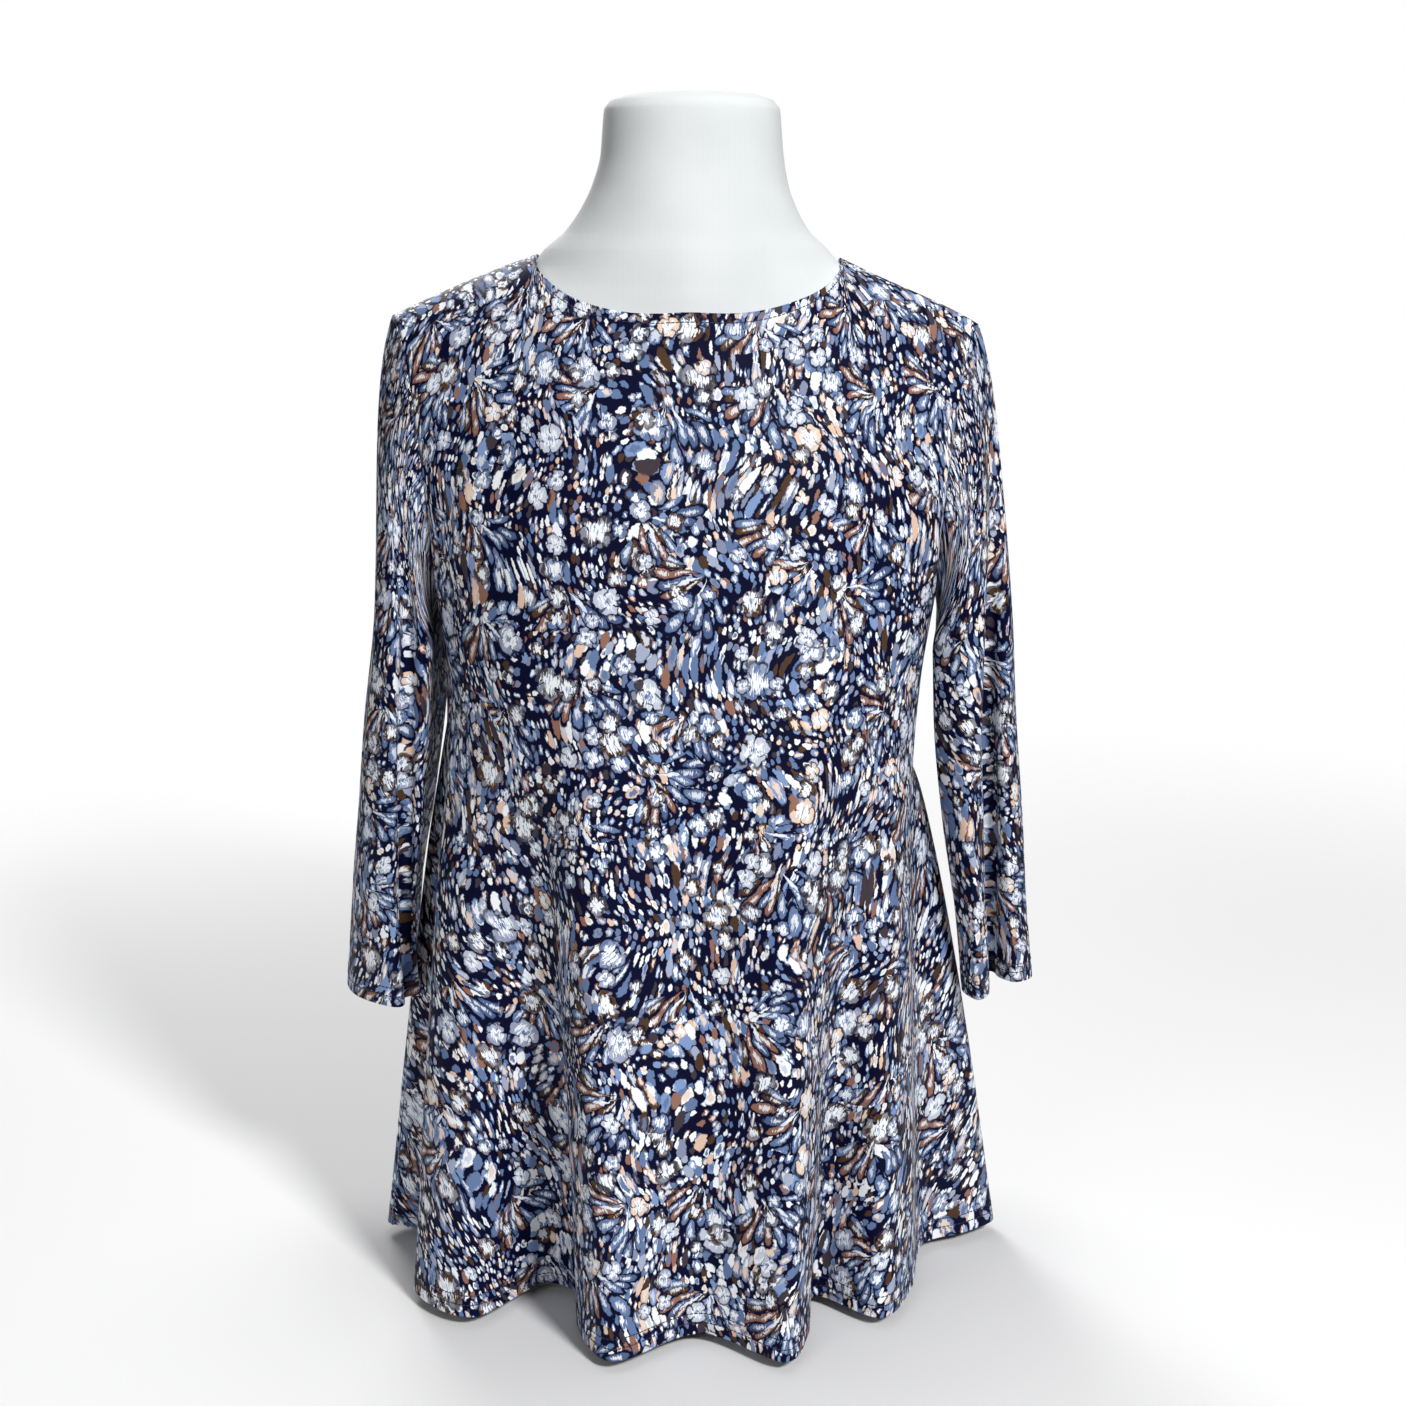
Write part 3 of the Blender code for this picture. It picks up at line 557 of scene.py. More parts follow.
def printedJersey():
    # Viscose jersey, screen printed: loose painted dabs, small open flowers and sprays of
    # long petals on navy. The loops scatter the light, so it looks soft, with hardly any gloss.
    material, shader, add = newMaterial("printedJersey")
    size, ink = printScale, printColours
    ground, white = linear(ink["ground"]), linear(ink["white"])

    def inked(under, over, where, start, full, most=1.0, mask=None):  # none laid at start, most at full
        laid = add("MapRange", (where, start, full, 0.0, most))[0]
        if mask:
            laid = add("Math", (laid, mask), "MULTIPLY")[0]
        return add("MixRGB", (laid, under, over))[0]

    cloth = add("UVMap", uv_map="cloth")[0]
    mm = add("VectorMath", (cloth, (1000, 1000, 0)), "MULTIPLY")[0]
    spacing, reach = size["swirl"]
    swirl = add("TexNoise", {"Vector": mm, "Scale": 1 / spacing, "Detail": 1.0}, **flatNoise)[1]
    flow = add("VectorMath", (swirl, (reach, reach, 0), mm), "MULTIPLY_ADD")[0]
    ragged = add("TexNoise", {"Vector": mm, "Scale": 1 / size["ragged"], "Detail": 1.0}, **flatNoise)[1]
    flow = add("VectorMath", (ragged, (2.0, 1.6, 0), flow), "MULTIPLY_ADD")[0]
    torn = add("VectorMath", (ragged, (1.8, 1.8, 0), mm), "MULTIPLY_ADD")[0]
    brush = add("VectorMath", (flow, (1.1, 0.17, 0)), "MULTIPLY")[0]
    streak = add("TexNoise", {"Vector": brush, "Scale": 1.0, "Detail": 1.0}, **flatNoise)[0]
    colour = ground

    # Dabs in two sizes, each one brush stroke with a paler heart. The large ones come in drifts.
    for k, (width, height, low, high, cover) in enumerate(size["dabs"]):
        perDab, start = (1 / width, 1 / height, 0), (11.3 * k, 7.1 * k, 0)
        place = add("VectorMath", (flow, perDab, start), "MULTIPLY_ADD")[0]
        cell = add("TexVoronoi", {"Vector": place, "Scale": 1.0, "Randomness": 0.9}, **flatCells)
        parts = add("SeparateColor", (cell["Color"],))
        radius = add("Math", (parts[1], high - low, low), "MULTIPLY_ADD")[0]
        depth = add("Math", (cell["Distance"], radius), "DIVIDE")[0]
        drifts = None
        if cover < 1:
            where = add("VectorMath", (cell["Position"], (width, height, 0)), "MULTIPLY")[0]
            drift = {"Vector": where, "Scale": 1 / size["drift"], "Detail": 1.0}
            drift = add("TexNoise", drift, **flatNoise)[0]
            drifts = add("Math", (drift, 1 - cover), "GREATER_THAN")[0]
        tone = add("ValToRGB", (parts[0],), stops=ink["dabs"], sharp=True)[0]
        heart = add("ValToRGB", (parts[1],), stops=ink["hearts"], sharp=True)[0]
        uneven = add("Math", (streak, 1.1, depth), "MULTIPLY_ADD")[0]
        hearted = add("Math", (parts[2], 0.42), "GREATER_THAN")[0]
        tone = inked(tone, heart, uneven, 1.16, 1.02, mask=hearted)
        colour = inked(colour, tone, depth, 1.0, 0.84, mask=drifts)

    # Sprays of long petals that open to one side from a point.
    spacing, reach, cover = size["spray"]
    count, long = size["petal"]
    leaning, halfFan, foot = size["fan"]
    curve, pull = size["bend"]
    bend = add("TexNoise", {"Vector": mm, "Scale": 1 / curve, "Detail": 1.0}, **flatNoise)[1]
    bent = add("VectorMath", (bend, (pull, pull, 0), torn), "MULTIPLY_ADD")[0]
    cell = add("TexVoronoi", {"Vector": bent, "Scale": 1 / spacing, "Randomness": 0.85}, **flatCells)
    parts = add("SeparateColor", (cell["Color"],))
    arm = add("VectorMath", (bent, cell["Position"]), "SUBTRACT")[0]
    lean = add("Math", (parts[0], leaning, math.pi - leaning / 2), "MULTIPLY_ADD")[0]
    arm = add("VectorRotate", {"Vector": arm, "Angle": lean}, rotation_type="Z_AXIS")[0]
    xy = add("SeparateXYZ", (arm,))
    far = add("VectorMath", (arm,), "LENGTH")["Value"]
    turn = add("Math", (xy[0], xy[1]), "ARCTAN2")[0]
    around = add("Math", (turn, count / math.tau), "MULTIPLY")[0]
    along = add("Math", (far, long), "DIVIDE")[0]
    polar = add("CombineXYZ", (around, along))[0]
    petal = add("TexVoronoi", {"Vector": polar, "Scale": 1.0, "Randomness": 0.8}, **flatCells)
    own = add("SeparateColor", (petal["Color"],))
    spot = add("SeparateXYZ", (petal["Position"],))
    aside = add("Math", (spot[0],), "ABSOLUTE")[0]
    gate = add("Math", (aside, count * halfFan), "LESS_THAN")[0]
    for value, limit, side in ((spot[1], foot, "GREATER"), (spot[1], reach / long, "LESS"),
                               (parts[1], cover, "LESS")):
        held = add("Math", (value, limit), side + "_THAN")[0]
        gate = add("Math", (gate, held), "MULTIPLY")[0]
    leaf = add("ValToRGB", (own[0],), stops=ink["leaves"], sharp=True)[0]
    glint = add("Math", (streak, -0.5, petal["Distance"]), "MULTIPLY_ADD")[0]
    leaf = inked(leaf, white, glint, -0.02, -0.10, 0.75)
    colour = inked(colour, ground, petal["Distance"], 0.64, 0.56, mask=gate)
    colour = inked(colour, leaf, petal["Distance"], 0.47, 0.40, mask=gate)

    # Small open flowers of three to five loose petals with pale hearts, in two sizes.
    wobble = add("TexNoise", {"Vector": torn, "Scale": 1 / size["wobble"], "Detail": 1.0}, **flatNoise)
    for k, (spacing, reach, cover) in enumerate(size["flowers"]):
        place = add("VectorMath", (torn, (517 * k, 361 * k, 0)), "ADD")[0]
        cell = add("TexVoronoi", {"Vector": place, "Scale": 1 / spacing, "Randomness": 0.9}, **flatCells)
        parts = add("SeparateColor", (cell["Color"],))
        arm = add("VectorMath", (place, cell["Position"]), "SUBTRACT")[0]
        xy = add("SeparateXYZ", (arm,))
        far = add("VectorMath", (arm,), "LENGTH")["Value"]
        turn = add("Math", (xy[1], xy[0]), "ARCTAN2")[0]
        turn = add("Math", (parts[1], 6.28, turn), "MULTIPLY_ADD")[0]  # a full round
        petals = add("Math", (parts[2], 0.5), "GREATER_THAN")[0]
        petals = add("Math", (petals, 0.5, 1.5), "MULTIPLY_ADD")[0]
        turn = add("Math", (turn, petals), "MULTIPLY")[0]
        turn = add("Math", (wobble[0], 4.0, turn), "MULTIPLY_ADD")[0]
        lobe = add("Math", (turn,), "SINE")[0]
        lobe = add("Math", (lobe,), "ABSOLUTE")[0]
        rim = add("Math", (lobe, 0.45), "POWER")[0]
        rim = add("Math", (rim, 0.55, 0.42), "MULTIPLY_ADD")[0]
        grown = add("Math", (parts[1], 0.45 * reach, 0.6 * reach), "MULTIPLY_ADD")[0]
        rim = add("Math", (rim, grown), "MULTIPLY")[0]
        inside = add("Math", (far, rim), "DIVIDE")[0]
        shown = add("Math", (parts[0], cover), "LESS_THAN")[0]
        colour = inked(colour, ground, inside, 1.28, 1.12, 0.85, shown)
        pick = add("TexWhiteNoise", (cell["Position"],), **flatNoise)[0]
        tone = add("ValToRGB", (pick,), stops=ink["petals"], sharp=True)[0]
        tone = inked(tone, linear(ink["shade"]), wobble[0], 0.50, 0.54, 0.4)
        tone = inked(tone, ground, lobe, 0.30, 0.12, 0.85)  # between the petals
        rough = add("Math", (streak, 1.0, inside), "MULTIPLY_ADD")[0]
        heart = add("MapRange", (rough, 1.14, 1.02))[0]
        tone = add("MixRGB", (heart, tone, white))[0]
        tone = inked(tone, linear(ink["blue"]), streak, 0.58, 0.62, mask=heart)
        eyed = add("Math", (pick, 0.4), "LESS_THAN")[0]
        tone = inked(tone, linear(ink["eye"]), rough, 0.66, 0.60, mask=eyed)
        colour = inked(colour, tone, inside, 1.0, 0.93, mask=shown)

    # The knit: fine upright wales crossed by courses, with a little fuzz.
    wales = math.tau / size["wale"]
    waves = add("VectorMath", (mm, (wales, wales * 1.25, 0)), "MULTIPLY")[0]
    waves = add("SeparateXYZ", (add("VectorMath", (waves,), "SINE")[0],))
    loop = add("Math", (waves[0], waves[1]), "MULTIPLY")[0]
    relief = add("Math", (loop, 0.35, streak), "MULTIPLY_ADD")[0]
    bump = add("Bump", {"Strength": 0.22, "Distance": 0.0004, "Height": relief})[0]
    roughness = add("MapRange", (ragged, 0.2, 0.8, 0.50, 0.64))[0]
    plug(shader, {"Base Color": colour, "Roughness": roughness, "Normal": bump, "Specular IOR Level": 0.08})
    return material


finishScale = {  # millimetres
    "reverseLoop": 1.208,  # real ones have about 0.8 mm, drawn coarser so that they show
    "inkMottle": 9.09,
    "threadPly": 0.349,
    "coverWale": 1.496,  # real ones have about 1 mm, drawn coarser so that they show
    "coverSoil": 71.4,
    "coverFuzz": 1.11,
}


def waveScale(finish):  # the setting at which a wave texture repeats at the finish's real size
    return math.tau / 20 / (finishScale[finish] / 1000)


def jerseyReverse():
    # The wrong side of the printed jersey: the ink hardly comes through, so it is a pale
    # grey blue with loops that lie across.
    material, shader, add = newMaterial("jerseyReverse")
    cloth = add("UVMap", uv_map="cloth")[0]
    mottle = {"Vector": cloth, "Scale": 1000 / finishScale["inkMottle"], "Detail": 3.0}
    mottle = add("TexNoise", mottle, **flatNoise)[0]
    through = add("ValToRGB", (mottle,), stops=((0.36, "#6B7390"), (0.50, "#8C95B0"), (0.64, "#AEB6C9")))[0]
    loops = {"Vector": cloth, "Scale": waveScale("reverseLoop"), "Distortion": 1.5}
    loops = add("TexWave", loops, bands_direction="Y")[1]
    bump = add("Bump", {"Strength": 0.25, "Distance": 0.0003, "Height": loops})[0]
    plug(shader, {"Base Color": through, "Normal": bump, "Roughness": 0.8, "Sheen Weight": 0.05})
    return material


def sewingThread():
    # Spun polyester thread, navy: thin, matt, a little lighter than the print's ground.
    material, shader, add = newMaterial("sewingThread")
    place = add("TexCoord")["Object"]
    ply = add("TexWave", {"Vector": place, "Scale": waveScale("threadPly")}, bands_direction="DIAGONAL")[1]
    colour = add("ValToRGB", (ply,), stops=((0.2, "#0C0F2C"), (0.8, "#1D2349")))[0]
    plug(shader, {"Base Color": colour, "Roughness": 0.55})
    return material


def whiteJerseyCover():
    # White cotton jersey pulled over a padded form: matt, with a fine knit and a soft grey
    # where it is handled most.
    material, shader, add = newMaterial("whiteJerseyCover")
    place = add("TexCoord")["Object"]
    soft = add("TexNoise", {"Vector": place, "Scale": 1000 / finishScale["coverSoil"], "Detail": 2.0})[0]
    colour = add("ValToRGB", (soft,), stops=((0.35, "#D9DDDE"), (0.65, "#E4E7E8")))[0]
    knit = {"Vector": place, "Scale": waveScale("coverWale"), "Distortion": 0.6}
    knit = add("TexWave", knit, bands_direction="X")[1]
    fuzz = add("TexNoise", {"Vector": place, "Scale": 1000 / finishScale["coverFuzz"], "Detail": 2.0})[0]
    both = add("Math", (knit, 0.5, fuzz), "MULTIPLY_ADD")[0]
    bump = add("Bump", {"Strength": 0.18, "Distance": 0.0004, "Height": both})[0]
    plug(shader, {"Base Color": colour, "Normal": bump, "Roughness": 0.85, "Sheen Weight": 0.05})
    return material


printed, reverse, thread, cover = printedJersey(), jerseyReverse(), sewingThread(), whiteJerseyCover()
print("materials made")


panelCreases = {  # across, low, high (from the underarm level), lean, width, depth; all in metres
    "front": (
        (-0.150, -0.02, 0.16, 0.10, 0.010, 0.0014),
        (0.148, -0.03, 0.15, -0.12, 0.011, 0.0016),
        (0.168, -0.06, 0.09, -0.05, 0.006, 0.0012),
        (-0.118, 0.02, 0.19, 0.22, 0.012, -0.0010),
        (0.112, 0.03, 0.20, -0.20, 0.013, -0.0010),
        (-0.040, -0.30, -0.05, -0.02, 0.012, 0.0013),
        (0.052, -0.34, -0.08, 0.03, 0.013, 0.0014),
        (-0.012, -0.45, -0.16, 0.01, 0.011, 0.0016),
        (0.030, -0.47, -0.22, 0.03, 0.009, -0.0012),
        (-0.105, -0.26, -0.04, -0.10, 0.009, 0.0012),
        (0.128, -0.28, -0.05, 0.12, 0.010, 0.0014),
    ),
    "back": (
        (-0.120, -0.30, -0.02, -0.05, 0.012, 0.0018),
        (0.112, -0.34, -0.05, 0.06, 0.011, 0.0016),
        (0.012, -0.40, -0.08, 0.01, 0.014, 0.0016),
        (-0.140, 0.00, 0.17, 0.12, 0.011, 0.0015),
        (0.138, 0.01, 0.16, -0.13, 0.012, 0.0014),
        (0.050, -0.20, 0.02, -0.05, 0.010, -0.0011),
        (-0.058, -0.24, 0.00, 0.04, 0.009, -0.0012),
    ),
}


def bodyPanel(name, folds, front):
    grid, inNeck, level = bodyGrid(folds, front)
    normals = outward(grid, False)
    flat = flatMap(grid, level)
    grid = softCreases(grid, normals, flat, panelCreases["front" if front else "back"])
    fromHem = grid[:, :, 2] - body["hemHeight"]
    steps = np.linalg.norm(np.diff(grid[::-1], axis=0), axis=2)
    fromTop = np.concatenate([np.zeros((1, grid.shape[1])), np.cumsum(steps, axis=0)])[::-1]
    sunk = hemRelief(fromHem, sewing["stepEnds"][0])
    sunk = sunk + dipAt(fromTop, sewing["neckLine"], sewing["neckGroove"]) * inNeck
    grid = grid - sunk[..., None] * normals
    normals = outward(grid, False)
    neckColumns = np.flatnonzero(inNeck)
    neckRows = np.argmin(abs(fromTop[:, neckColumns] - sewing["neckLine"]), axis=0)
    lines = hemSeams(grid, normals, fromHem) + [seamLine(grid, normals, neckRows, neckColumns)]
    halfGap = sewing["seamGap"] / 2
    for column, beside in ((0, 1), (-1, -2)):  # draw the seam edges back by half the gap
        grid[:, column] += unit(grid[:, beside] - grid[:, column]) * halfGap
    grid[-1, ~inNeck] += unit(grid[-2, ~inNeck] - grid[-1, ~inNeck]) * halfGap
    cloth = turnIn((grid, normals, flat), 1, "first", sewing["seamTurned"], True)
    cloth = turnIn(cloth, 1, "last", sewing["seamTurned"], True)
    cloth = turnIn(cloth, 0, "first", sewing["hemTurned"], False)
    neck = np.pad(inNeck, 3)
    top = np.where(neck, sewing["neckTurned"], sewing["seamTurned"])
    grid, normals, flat = turnIn(cloth, 0, "last", top, ~neck)
    piece = clothPiece(name, grid, flat + (0.0 if front else body["backPrint"]), False)
    return piece, stitching(name + "Stitches", lines)


frontCloth, frontStitches = bodyPanel("frontCloth", body["frontFolds"], True)
print("front cloth made")
backCloth, backStitches = bodyPanel("backCloth", body["backFolds"], False)
print("back cloth made")


sleeves = {
    "capRows": 44,
    "elbowHeight": 0.452,
    "nextHeight": 0.428,
    "cuffHeight": 0.197,
    "rowSpacing": 0.0045,
    "columns": 120,
    "capSpread": (0.54, 0.30),  # how far the cap swings out from the armhole, at its foot and less at its top
    "capDrop": (1.0, 0.35),
    "printPlace": (6.3, 1.7),  # metres on the printed cloth, the same for both and to each side
    # height, then the box round the sleeve: inner, outer, front, back
    "rightSections": (
        (0.452, 0.1695, 0.2285, -0.062, 0.066),
        (0.400, 0.1720, 0.2325, -0.056, 0.070),
        (0.330, 0.1800, 0.2397, -0.048, 0.075),
        (0.266, 0.1905, 0.2450, -0.039, 0.080),
        (0.197, 0.1990, 0.2535, -0.027, 0.088),
    ),
    "leftSections": (
        (0.452, 0.1770, 0.2235, -0.062, 0.066),
        (0.400, 0.1790, 0.2310, -0.059, 0.070),
        (0.330, 0.1840, 0.2382, -0.054, 0.075),
        (0.266, 0.1900, 0.2445, -0.049, 0.080),
        (0.197, 0.1890, 0.2517, -0.042, 0.086),
    ),
    # each fold: its share of the way round, then across and along at the elbow and the cuff
    "rightFolds": (
        (0.000, 0.10, 0.50, 0.12, 0.52),
        (0.125, 0.00, 0.14, 0.00, 0.16),
        (0.250, 0.32, 0.00, 0.17, 0.00),
        (0.3333, 0.52, 0.05, 0.34, 0.12),
        (0.4167, 0.62, 0.22, 0.42, 0.50),
        (0.5000, 0.83, 0.18, 0.74, 0.34),
        (0.5833, 1.00, 0.42, 1.00, 0.44),
        (0.6667, 0.97, 0.75, 0.95, 0.74),
        (0.8333, 0.57, 1.00, 0.60, 1.00),
        (0.9167, 0.20, 0.84, 0.25, 0.88),
    ),
    "leftFolds": (
        (0.000, 0.06, 0.50, 0.32, 0.52),
        (0.0833, 0.00, 0.22, 0.15, 0.24),
        (0.1667, 0.12, 0.06, 0.09, 0.19),
        (0.250, 0.30, 0.12, 0.18, 0.18),
        (0.3333, 0.52, 0.00, 0.27, 0.00),
        (0.4167, 0.82, 0.10, 0.78, 0.17),
        (0.5833, 1.00, 0.50, 1.00, 0.44),
        (0.6667, 0.96, 0.76, 0.94, 0.74),
        (0.8333, 0.46, 1.00, 0.62, 1.00),
        (0.9167, -0.10, 0.80, 0.28, 0.84),
    ),
    # across, low, high (from the armhole's foot), lean, width, depth
    "rightCreases": (
        (-0.0175, -0.40, 0.12, 0.044, 0.0052, 0.0056),
        (0.060, -0.20, -0.02, 0.10, 0.007, 0.0012),
        (-0.055, -0.24, -0.06, -0.06, 0.008, 0.0014),
        (-0.010, -0.12, 0.06, 0.05, 0.009, 0.0010),
        (0.090, -0.10, 0.05, -0.15, 0.007, 0.0011),
        (0.020, -0.27, -0.12, 0.08, 0.008, -0.0010),
    ),
    "leftCreases": (
        (0.0680, -0.40, 0.14, -0.060, 0.0055, 0.0058),
        (-0.060, -0.21, -0.03, -0.10, 0.008, 0.0012),
        (0.050, -0.25, -0.05, 0.07, 0.008, 0.0013),
        (0.006, -0.13, 0.05, -0.04, 0.009, 0.0011),
        (-0.092, -0.11, 0.04, 0.14, 0.007, 0.0012),
        (-0.024, -0.26, -0.11, -0.07, 0.008, -0.0010),
    ),
}


def sleeveRing(sections, folds, side, height):
    high, low = sleeves["elbowHeight"], sleeves["cuffHeight"]
    lowered = np.clip((high - height) / (high - low), 0, 1)
    inner, outer, front, back = (smoothColumn(sections, column, height) for column in (1, 2, 3, 4))
    nodes = []
    for _, elbowAcross, elbowAlong, cuffAcross, cuffAlong in folds:
        across = elbowAcross + lowered * (cuffAcross - elbowAcross)
        along = elbowAlong + lowered * (cuffAlong - elbowAlong)
        nodes.append((inner + across * (outer - inner), front + along * (back - front)))
    shares = [fold[0] for fold in folds] + [1.0]
    around = np.arange(sleeves["columns"]) / sleeves["columns"]
    flat = loopPoints(np.array(nodes), np.interp(around, shares, range(len(shares))))
    return np.column_stack([side * flat[:, 0], flat[:, 1], np.full(len(flat), height)])


def armholeLoop(side):
    half = sleeves["columns"] // 2
    along = np.arange(half + 1) / half
    rise = 0.55 * along + 0.45 * (0.5 - 0.5 * np.cos(np.pi * along))  # a little slower at both ends
    edge = np.full(half + 1, float(side))
    up, down = chestPoints(edge, rise, True), chestPoints(edge, rise, False)
    return np.concatenate([up, down[::-1][1:-1]])


def sleeve(name, hand, side):
    sections, folds, creases = (sleeves[hand + part] for part in ("Sections", "Folds", "Creases"))
    top = armholeLoop(side)
    first = sleeveRing(sections, folds, side, sleeves["elbowHeight"])
    second = sleeveRing(sections, folds, side, sleeves["nextHeight"])
    fall = (second - first) / (sleeves["elbowHeight"] - sleeves["nextHeight"])
    drop = np.linalg.norm(first - top, axis=1, keepdims=True)
    heightShare = (top[:, 2:] - top[:, 2].min()) / np.ptp(top[:, 2])
    spread, fallen = (most - less * heightShare for most, less in (sleeves["capSpread"], sleeves["capDrop"]))
    leave = drop * (spread * np.array([side, 0, 0]) - np.array([0, 0, 1.0]) * fallen)
    steps = np.linspace(0, 1, sleeves["capRows"] + 1)[:-1]
    cap = [hermite(top, leave, first, drop * fall, t) for t in steps]
    even = sleeves["cuffHeight"] + sewing["evenRows"]
    count = round((sleeves["elbowHeight"] - even) / sleeves["rowSpacing"])
    heights = list(np.linspace(sleeves["elbowHeight"], even, count + 1))
    heights += [sleeves["cuffHeight"] + step for step in sewing["edgeRows"][::-1]]
    grid = np.array(cap + [sleeveRing(sections, folds, side, z) for z in heights])
    grid = np.concatenate([grid, grid[:, :1]], axis=1)[::-1]  # rows now climb from the cuff
    if side < 0:
        grid = grid[:, ::-1]
    normals = outward(grid, True)
    flat = flatMap(grid, len(heights) - 1)
    grid = softCreases(grid, normals, flat, creases)
    fromCuff = grid[:, :, 2] - sleeves["cuffHeight"]
    grid = grid - hemRelief(fromCuff, sewing["stepEnds"][1])[..., None] * normals
    grid[:, -1] = grid[:, 0]
    normals = outward(grid, True)
    lines = hemSeams(grid, normals, fromCuff)
    grid[-1] += unit(grid[-2] - grid[-1]) * sewing["seamGap"] / 2
    cloth = turnIn((grid, normals, flat), 0, "first", sewing["hemTurned"], False)
    grid, normals, flat = turnIn(cloth, 0, "last", sewing["seamTurned"], True)
    middle, apart = sleeves["printPlace"]
    return clothPiece(name, grid, flat + middle + side * apart, True), stitching(name + "Stitches", lines)


rightSleeve, rightStitches = sleeve("rightSleeveCloth", "right", 1)
leftSleeve, leftStitches = sleeve("leftSleeveCloth", "left", -1)
print("sleeves made")


form = {
    "sides": 128,
    "rings": 170,
    "lean": 0.002,  # to one side, over the heights below
    "leanTurns": 0.755,
    "leanStarts": 0.69,
    "leanSpan": 0.03,
    # height, half width, front, back, roundness
    "sections": (
        (0.000, 0.1420, 0.0780, 0.0880, 2.10),
        (0.006, 0.1460, 0.0820, 0.0920, 2.10),
        (0.080, 0.1500, 0.0850, 0.0960, 2.10),
        (0.170, 0.1520, 0.0880, 0.0970, 2.10),
        (0.250, 0.1400, 0.0880, 0.0880, 2.10),
        (0.320, 0.1240, 0.0880, 0.0770, 2.10),
        (0.380, 0.1360, 0.1000, 0.0800, 2.10),
        (0.440, 0.1500, 0.1200, 0.0900, 2.10),
        (0.500, 0.1560, 0.1180, 0.0980, 2.10),
        (0.560, 0.1640, 0.1060, 0.1000, 2.05),
        (0.610, 0.1730, 0.0950, 0.0960, 1.95),
        (0.645, 0.1810, 0.0850, 0.0880, 1.85),
        (0.665, 0.1800, 0.0790, 0.0800, 1.75),
        (0.680, 0.1665, 0.0750, 0.0740, 1.70),
        (0.692, 0.1450, 0.0710, 0.0690, 1.70),
        (0.703, 0.1230, 0.0680, 0.0640, 1.72),
        (0.7145, 0.1060, 0.0660, 0.0600, 1.78),
        (0.7265, 0.0955, 0.0640, 0.0580, 1.85),
        (0.737, 0.0835, 0.0610, 0.0560, 1.95),
        (0.752, 0.0735, 0.0590, 0.0555, 2.00),
        (0.768, 0.0665, 0.0570, 0.0550, 2.05),
        (0.788, 0.0618, 0.0560, 0.0550, 2.10),
        (0.807, 0.0602, 0.0555, 0.0545, 2.10),
        (0.817, 0.0592, 0.0545, 0.0535, 2.10),
        (0.823, 0.0550, 0.0500, 0.0495, 2.10),
        (0.827, 0.0440, 0.0400, 0.0400, 2.10),
        (0.8285, 0.0280, 0.0250, 0.0250, 2.10),
    ),
}


def dressForm():
    fixed = [row[0] for row in form["sections"]]
    heights = np.unique(np.concatenate([fixed, np.linspace(0, fixed[-1], form["rings"])]).round(5))
    angles = np.linspace(0, 360, form["sides"] + 1)
    rows = []
    for z in heights:
        half, front, back, roundness = (smoothColumn(form["sections"], column, z) for column in (1, 2, 3, 4))
        turned = np.clip((z - form["leanTurns"]) / form["leanSpan"], -1, 1)
        started = np.clip((z - form["leanStarts"]) / form["leanSpan"], 0, 1)
        ring = ovalPoints(angles, half, half, front, back, roundness) + [form["lean"] * turned * started, 0]
        rows.append(np.column_stack([ring, np.full(len(angles), z)]))
    grid = np.array(rows)
    grid[:, -1] = grid[:, 0]
    mesh, _ = gridMesh(grid, False)
    bmesh.ops.remove_doubles(mesh, verts=mesh.verts[:], dist=sewing["weld"])
    bmesh.ops.holes_fill(mesh, edges=[e for e in mesh.edges if e.is_boundary], sides=0)
    bmesh.ops.recalc_face_normals(mesh, faces=mesh.faces[:])
    for face in mesh.faces:
        face.smooth = len(face.verts) == 4
    return newPiece("formCover", mesh, (cover,))


formCover = dressForm()
print("dress form made")


cloths = (  # piece, its stitches, the node it stands for, its flat width and length, its flat area
    (frontCloth, frontStitches, "front_panel", (0.94, 0.78), 0.42),
    (backCloth, backStitches, "back_panel", (0.86, 0.78), 0.38),
    (rightSleeve, rightStitches, "right_sleeve", (0.36, 0.50), 0.14),
    (leftSleeve, leftStitches, "left_sleeve", (0.36, 0.50), 0.14),
)

for piece, stitches, node, *_ in cloths:
    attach(piece, "root")
    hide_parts(node)
    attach(stitches, "root")
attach(formCover, "root")
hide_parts("dress_form")
print("pieces joined to the frame")


studio = {
    "floorSize": 9,
    "floorColour": "#F6F6F6",
    "floorFade": (0.7, 1.9),  # the floor thins out into the pale background between these distances
    "skyStrength": 0.10,
    "skySeen": 1.0,  # how bright the background looks, apart from the light it gives
    # name, place, aim, size, watts
    "lights": (
        ("keyLight", (1.35, -2.35, 2.15), (0, 0, 0.4), 0.6, 88),
        ("fillLight", (-1.4, -2.3, 1.3), (0, 0, 0.4), 1.2, 9),
        ("topLight", (0.0, 0.5, 2.6), (0, 0, 0.5), 1.2, 18),
        ("backLight", (-0.9, 2.5, 1.7), (0, 0, 0.4), 1.2, 44),
    ),
    "cameraDistance": 1.55,
    "cameraHeight": 0.739,
    "tilt": 12.0,
    "sensor": 36,
    "focal": 2230 / 1406 * 36,  # the photo's focal length in its pixels, and its width of 1406 pixels
    "shift": 14 / 1406,
}


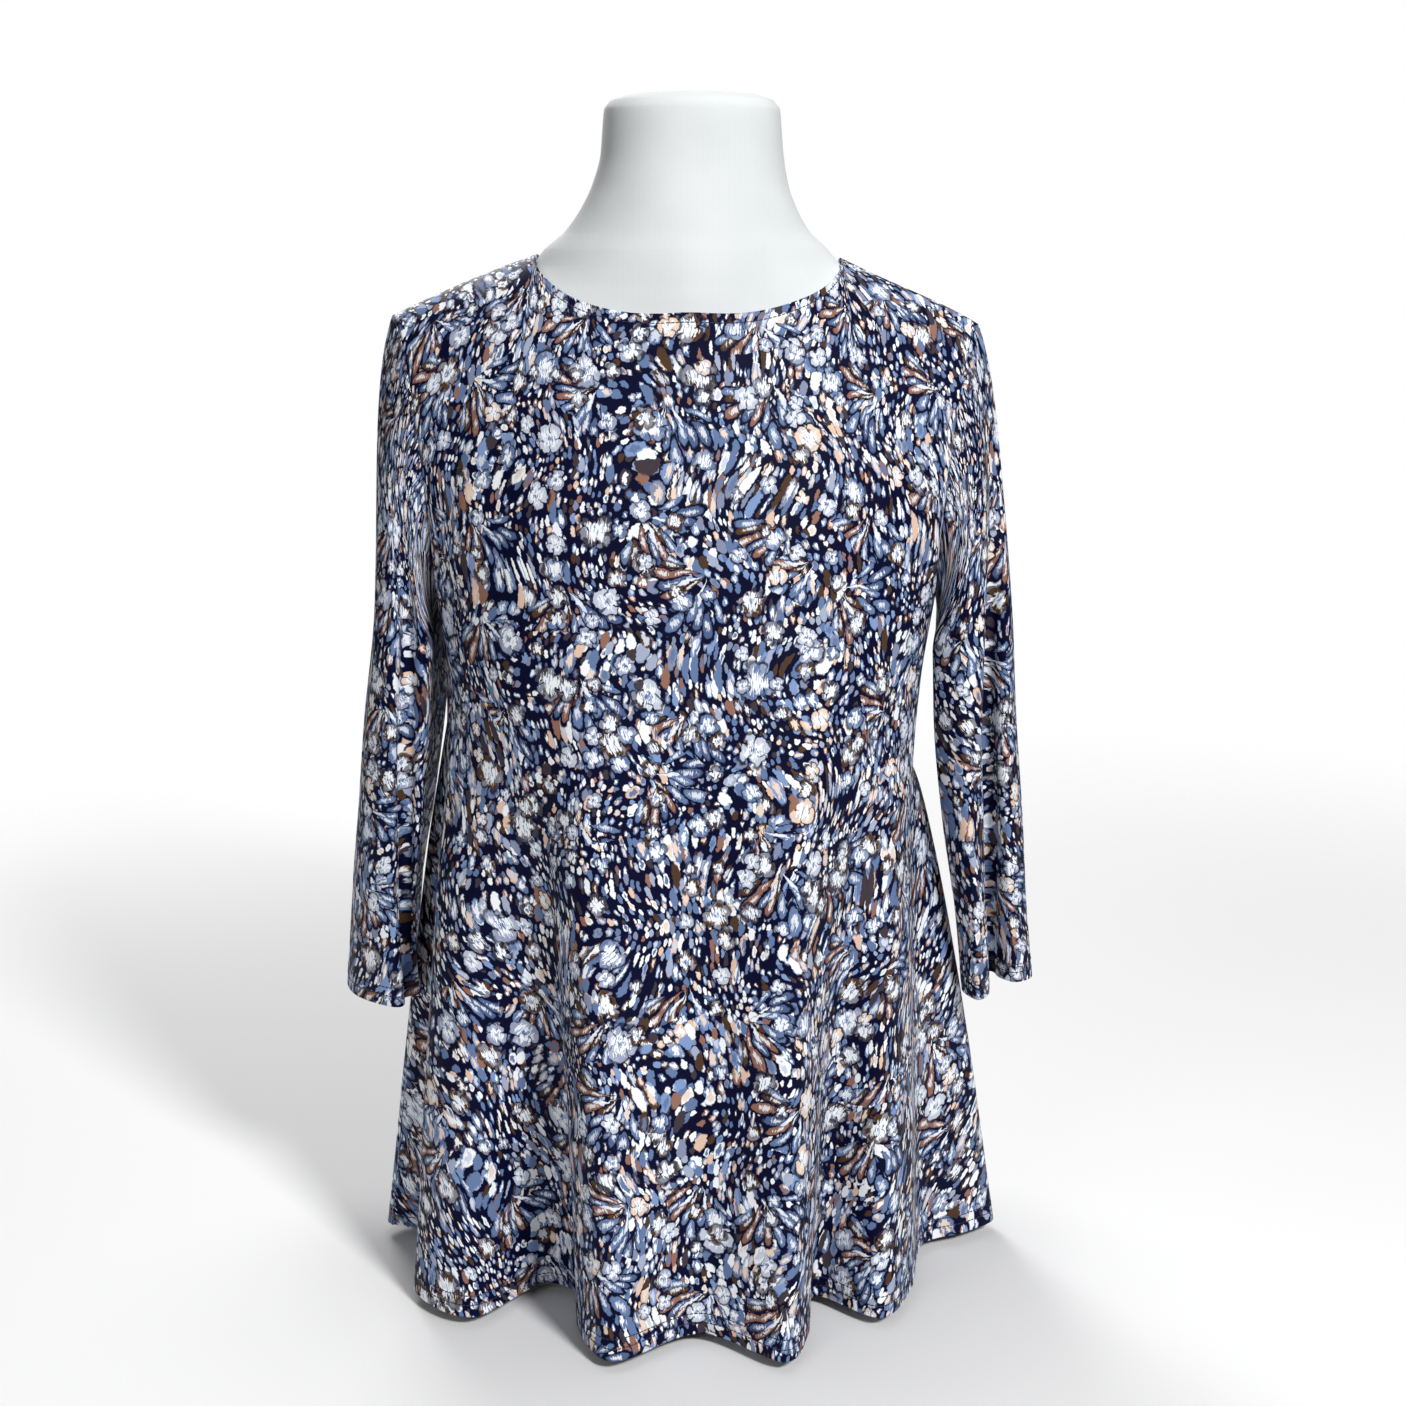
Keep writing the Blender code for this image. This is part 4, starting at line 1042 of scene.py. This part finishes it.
def aimAt(piece, place, target):
    direction = np.array(target, float) - np.array(place, float)
    flatLength = math.hypot(direction[0], direction[1])
    piece.location = place
    piece.rotation_euler = math.atan2(flatLength, -direction[2]), 0, math.atan2(-direction[0], direction[1])


def makeStudio():
    # Matt white paper that thins out with distance, so that no edge of it shows.
    material, shader, add = newMaterial("matPaper")
    far = add("VectorMath", (add("TexCoord")["Object"],), "LENGTH")["Value"]
    near, end = studio["floorFade"]
    fade = add("MapRange", (far, end, near), interpolation_type="SMOOTHSTEP")[0]
    plug(shader, {"Base Color": linear(studio["floorColour"]), "Roughness": 0.9, "Alpha": fade})
    mesh = bmesh.new()
    bmesh.ops.create_grid(mesh, x_segments=1, y_segments=1, size=studio["floorSize"])
    newPiece("floor", mesh, (material,))
    for name, place, aim, size, watts in studio["lights"]:
        light = bpy.data.lights.new(name, "AREA")
        light.shape = "DISK"
        light.size = size
        light.energy = watts
        lamp = bpy.data.objects.new(name, light)
        aimAt(lamp, place, aim)
        bpy.context.scene.collection.objects.link(lamp)
    world = bpy.data.worlds.new("studio")
    world.use_nodes = True
    nodes, add = world.node_tree.nodes, partial(addNode, world.node_tree)
    sky = nodes["Background"]
    plug(sky, {"Strength": studio["skyStrength"], "Color": (1, 1, 1, 1)})
    seen = add("Background", ((1, 1, 1, 1), studio["skySeen"]))[0]
    direct = add("LightPath")["Is Camera Ray"]
    both = add("MixShader", (direct, sky.outputs[0], seen))[0]
    plug(nodes["World Output"], {"Surface": both})
    bpy.context.scene.world = world
    camera = bpy.data.cameras.new("camera")
    camera.lens = studio["focal"]
    camera.sensor_width = studio["sensor"]
    camera.shift_x = studio["shift"]
    viewer = bpy.data.objects.new("camera", camera)
    viewer.location = (0, -studio["cameraDistance"], studio["cameraHeight"])
    viewer.rotation_euler = (math.radians(90 - studio["tilt"]), 0, 0)
    bpy.context.scene.collection.objects.link(viewer)
    bpy.context.scene.camera = viewer
    bpy.context.scene.view_settings.view_transform = "Standard"


makeStudio()
print("floor, light and camera made")
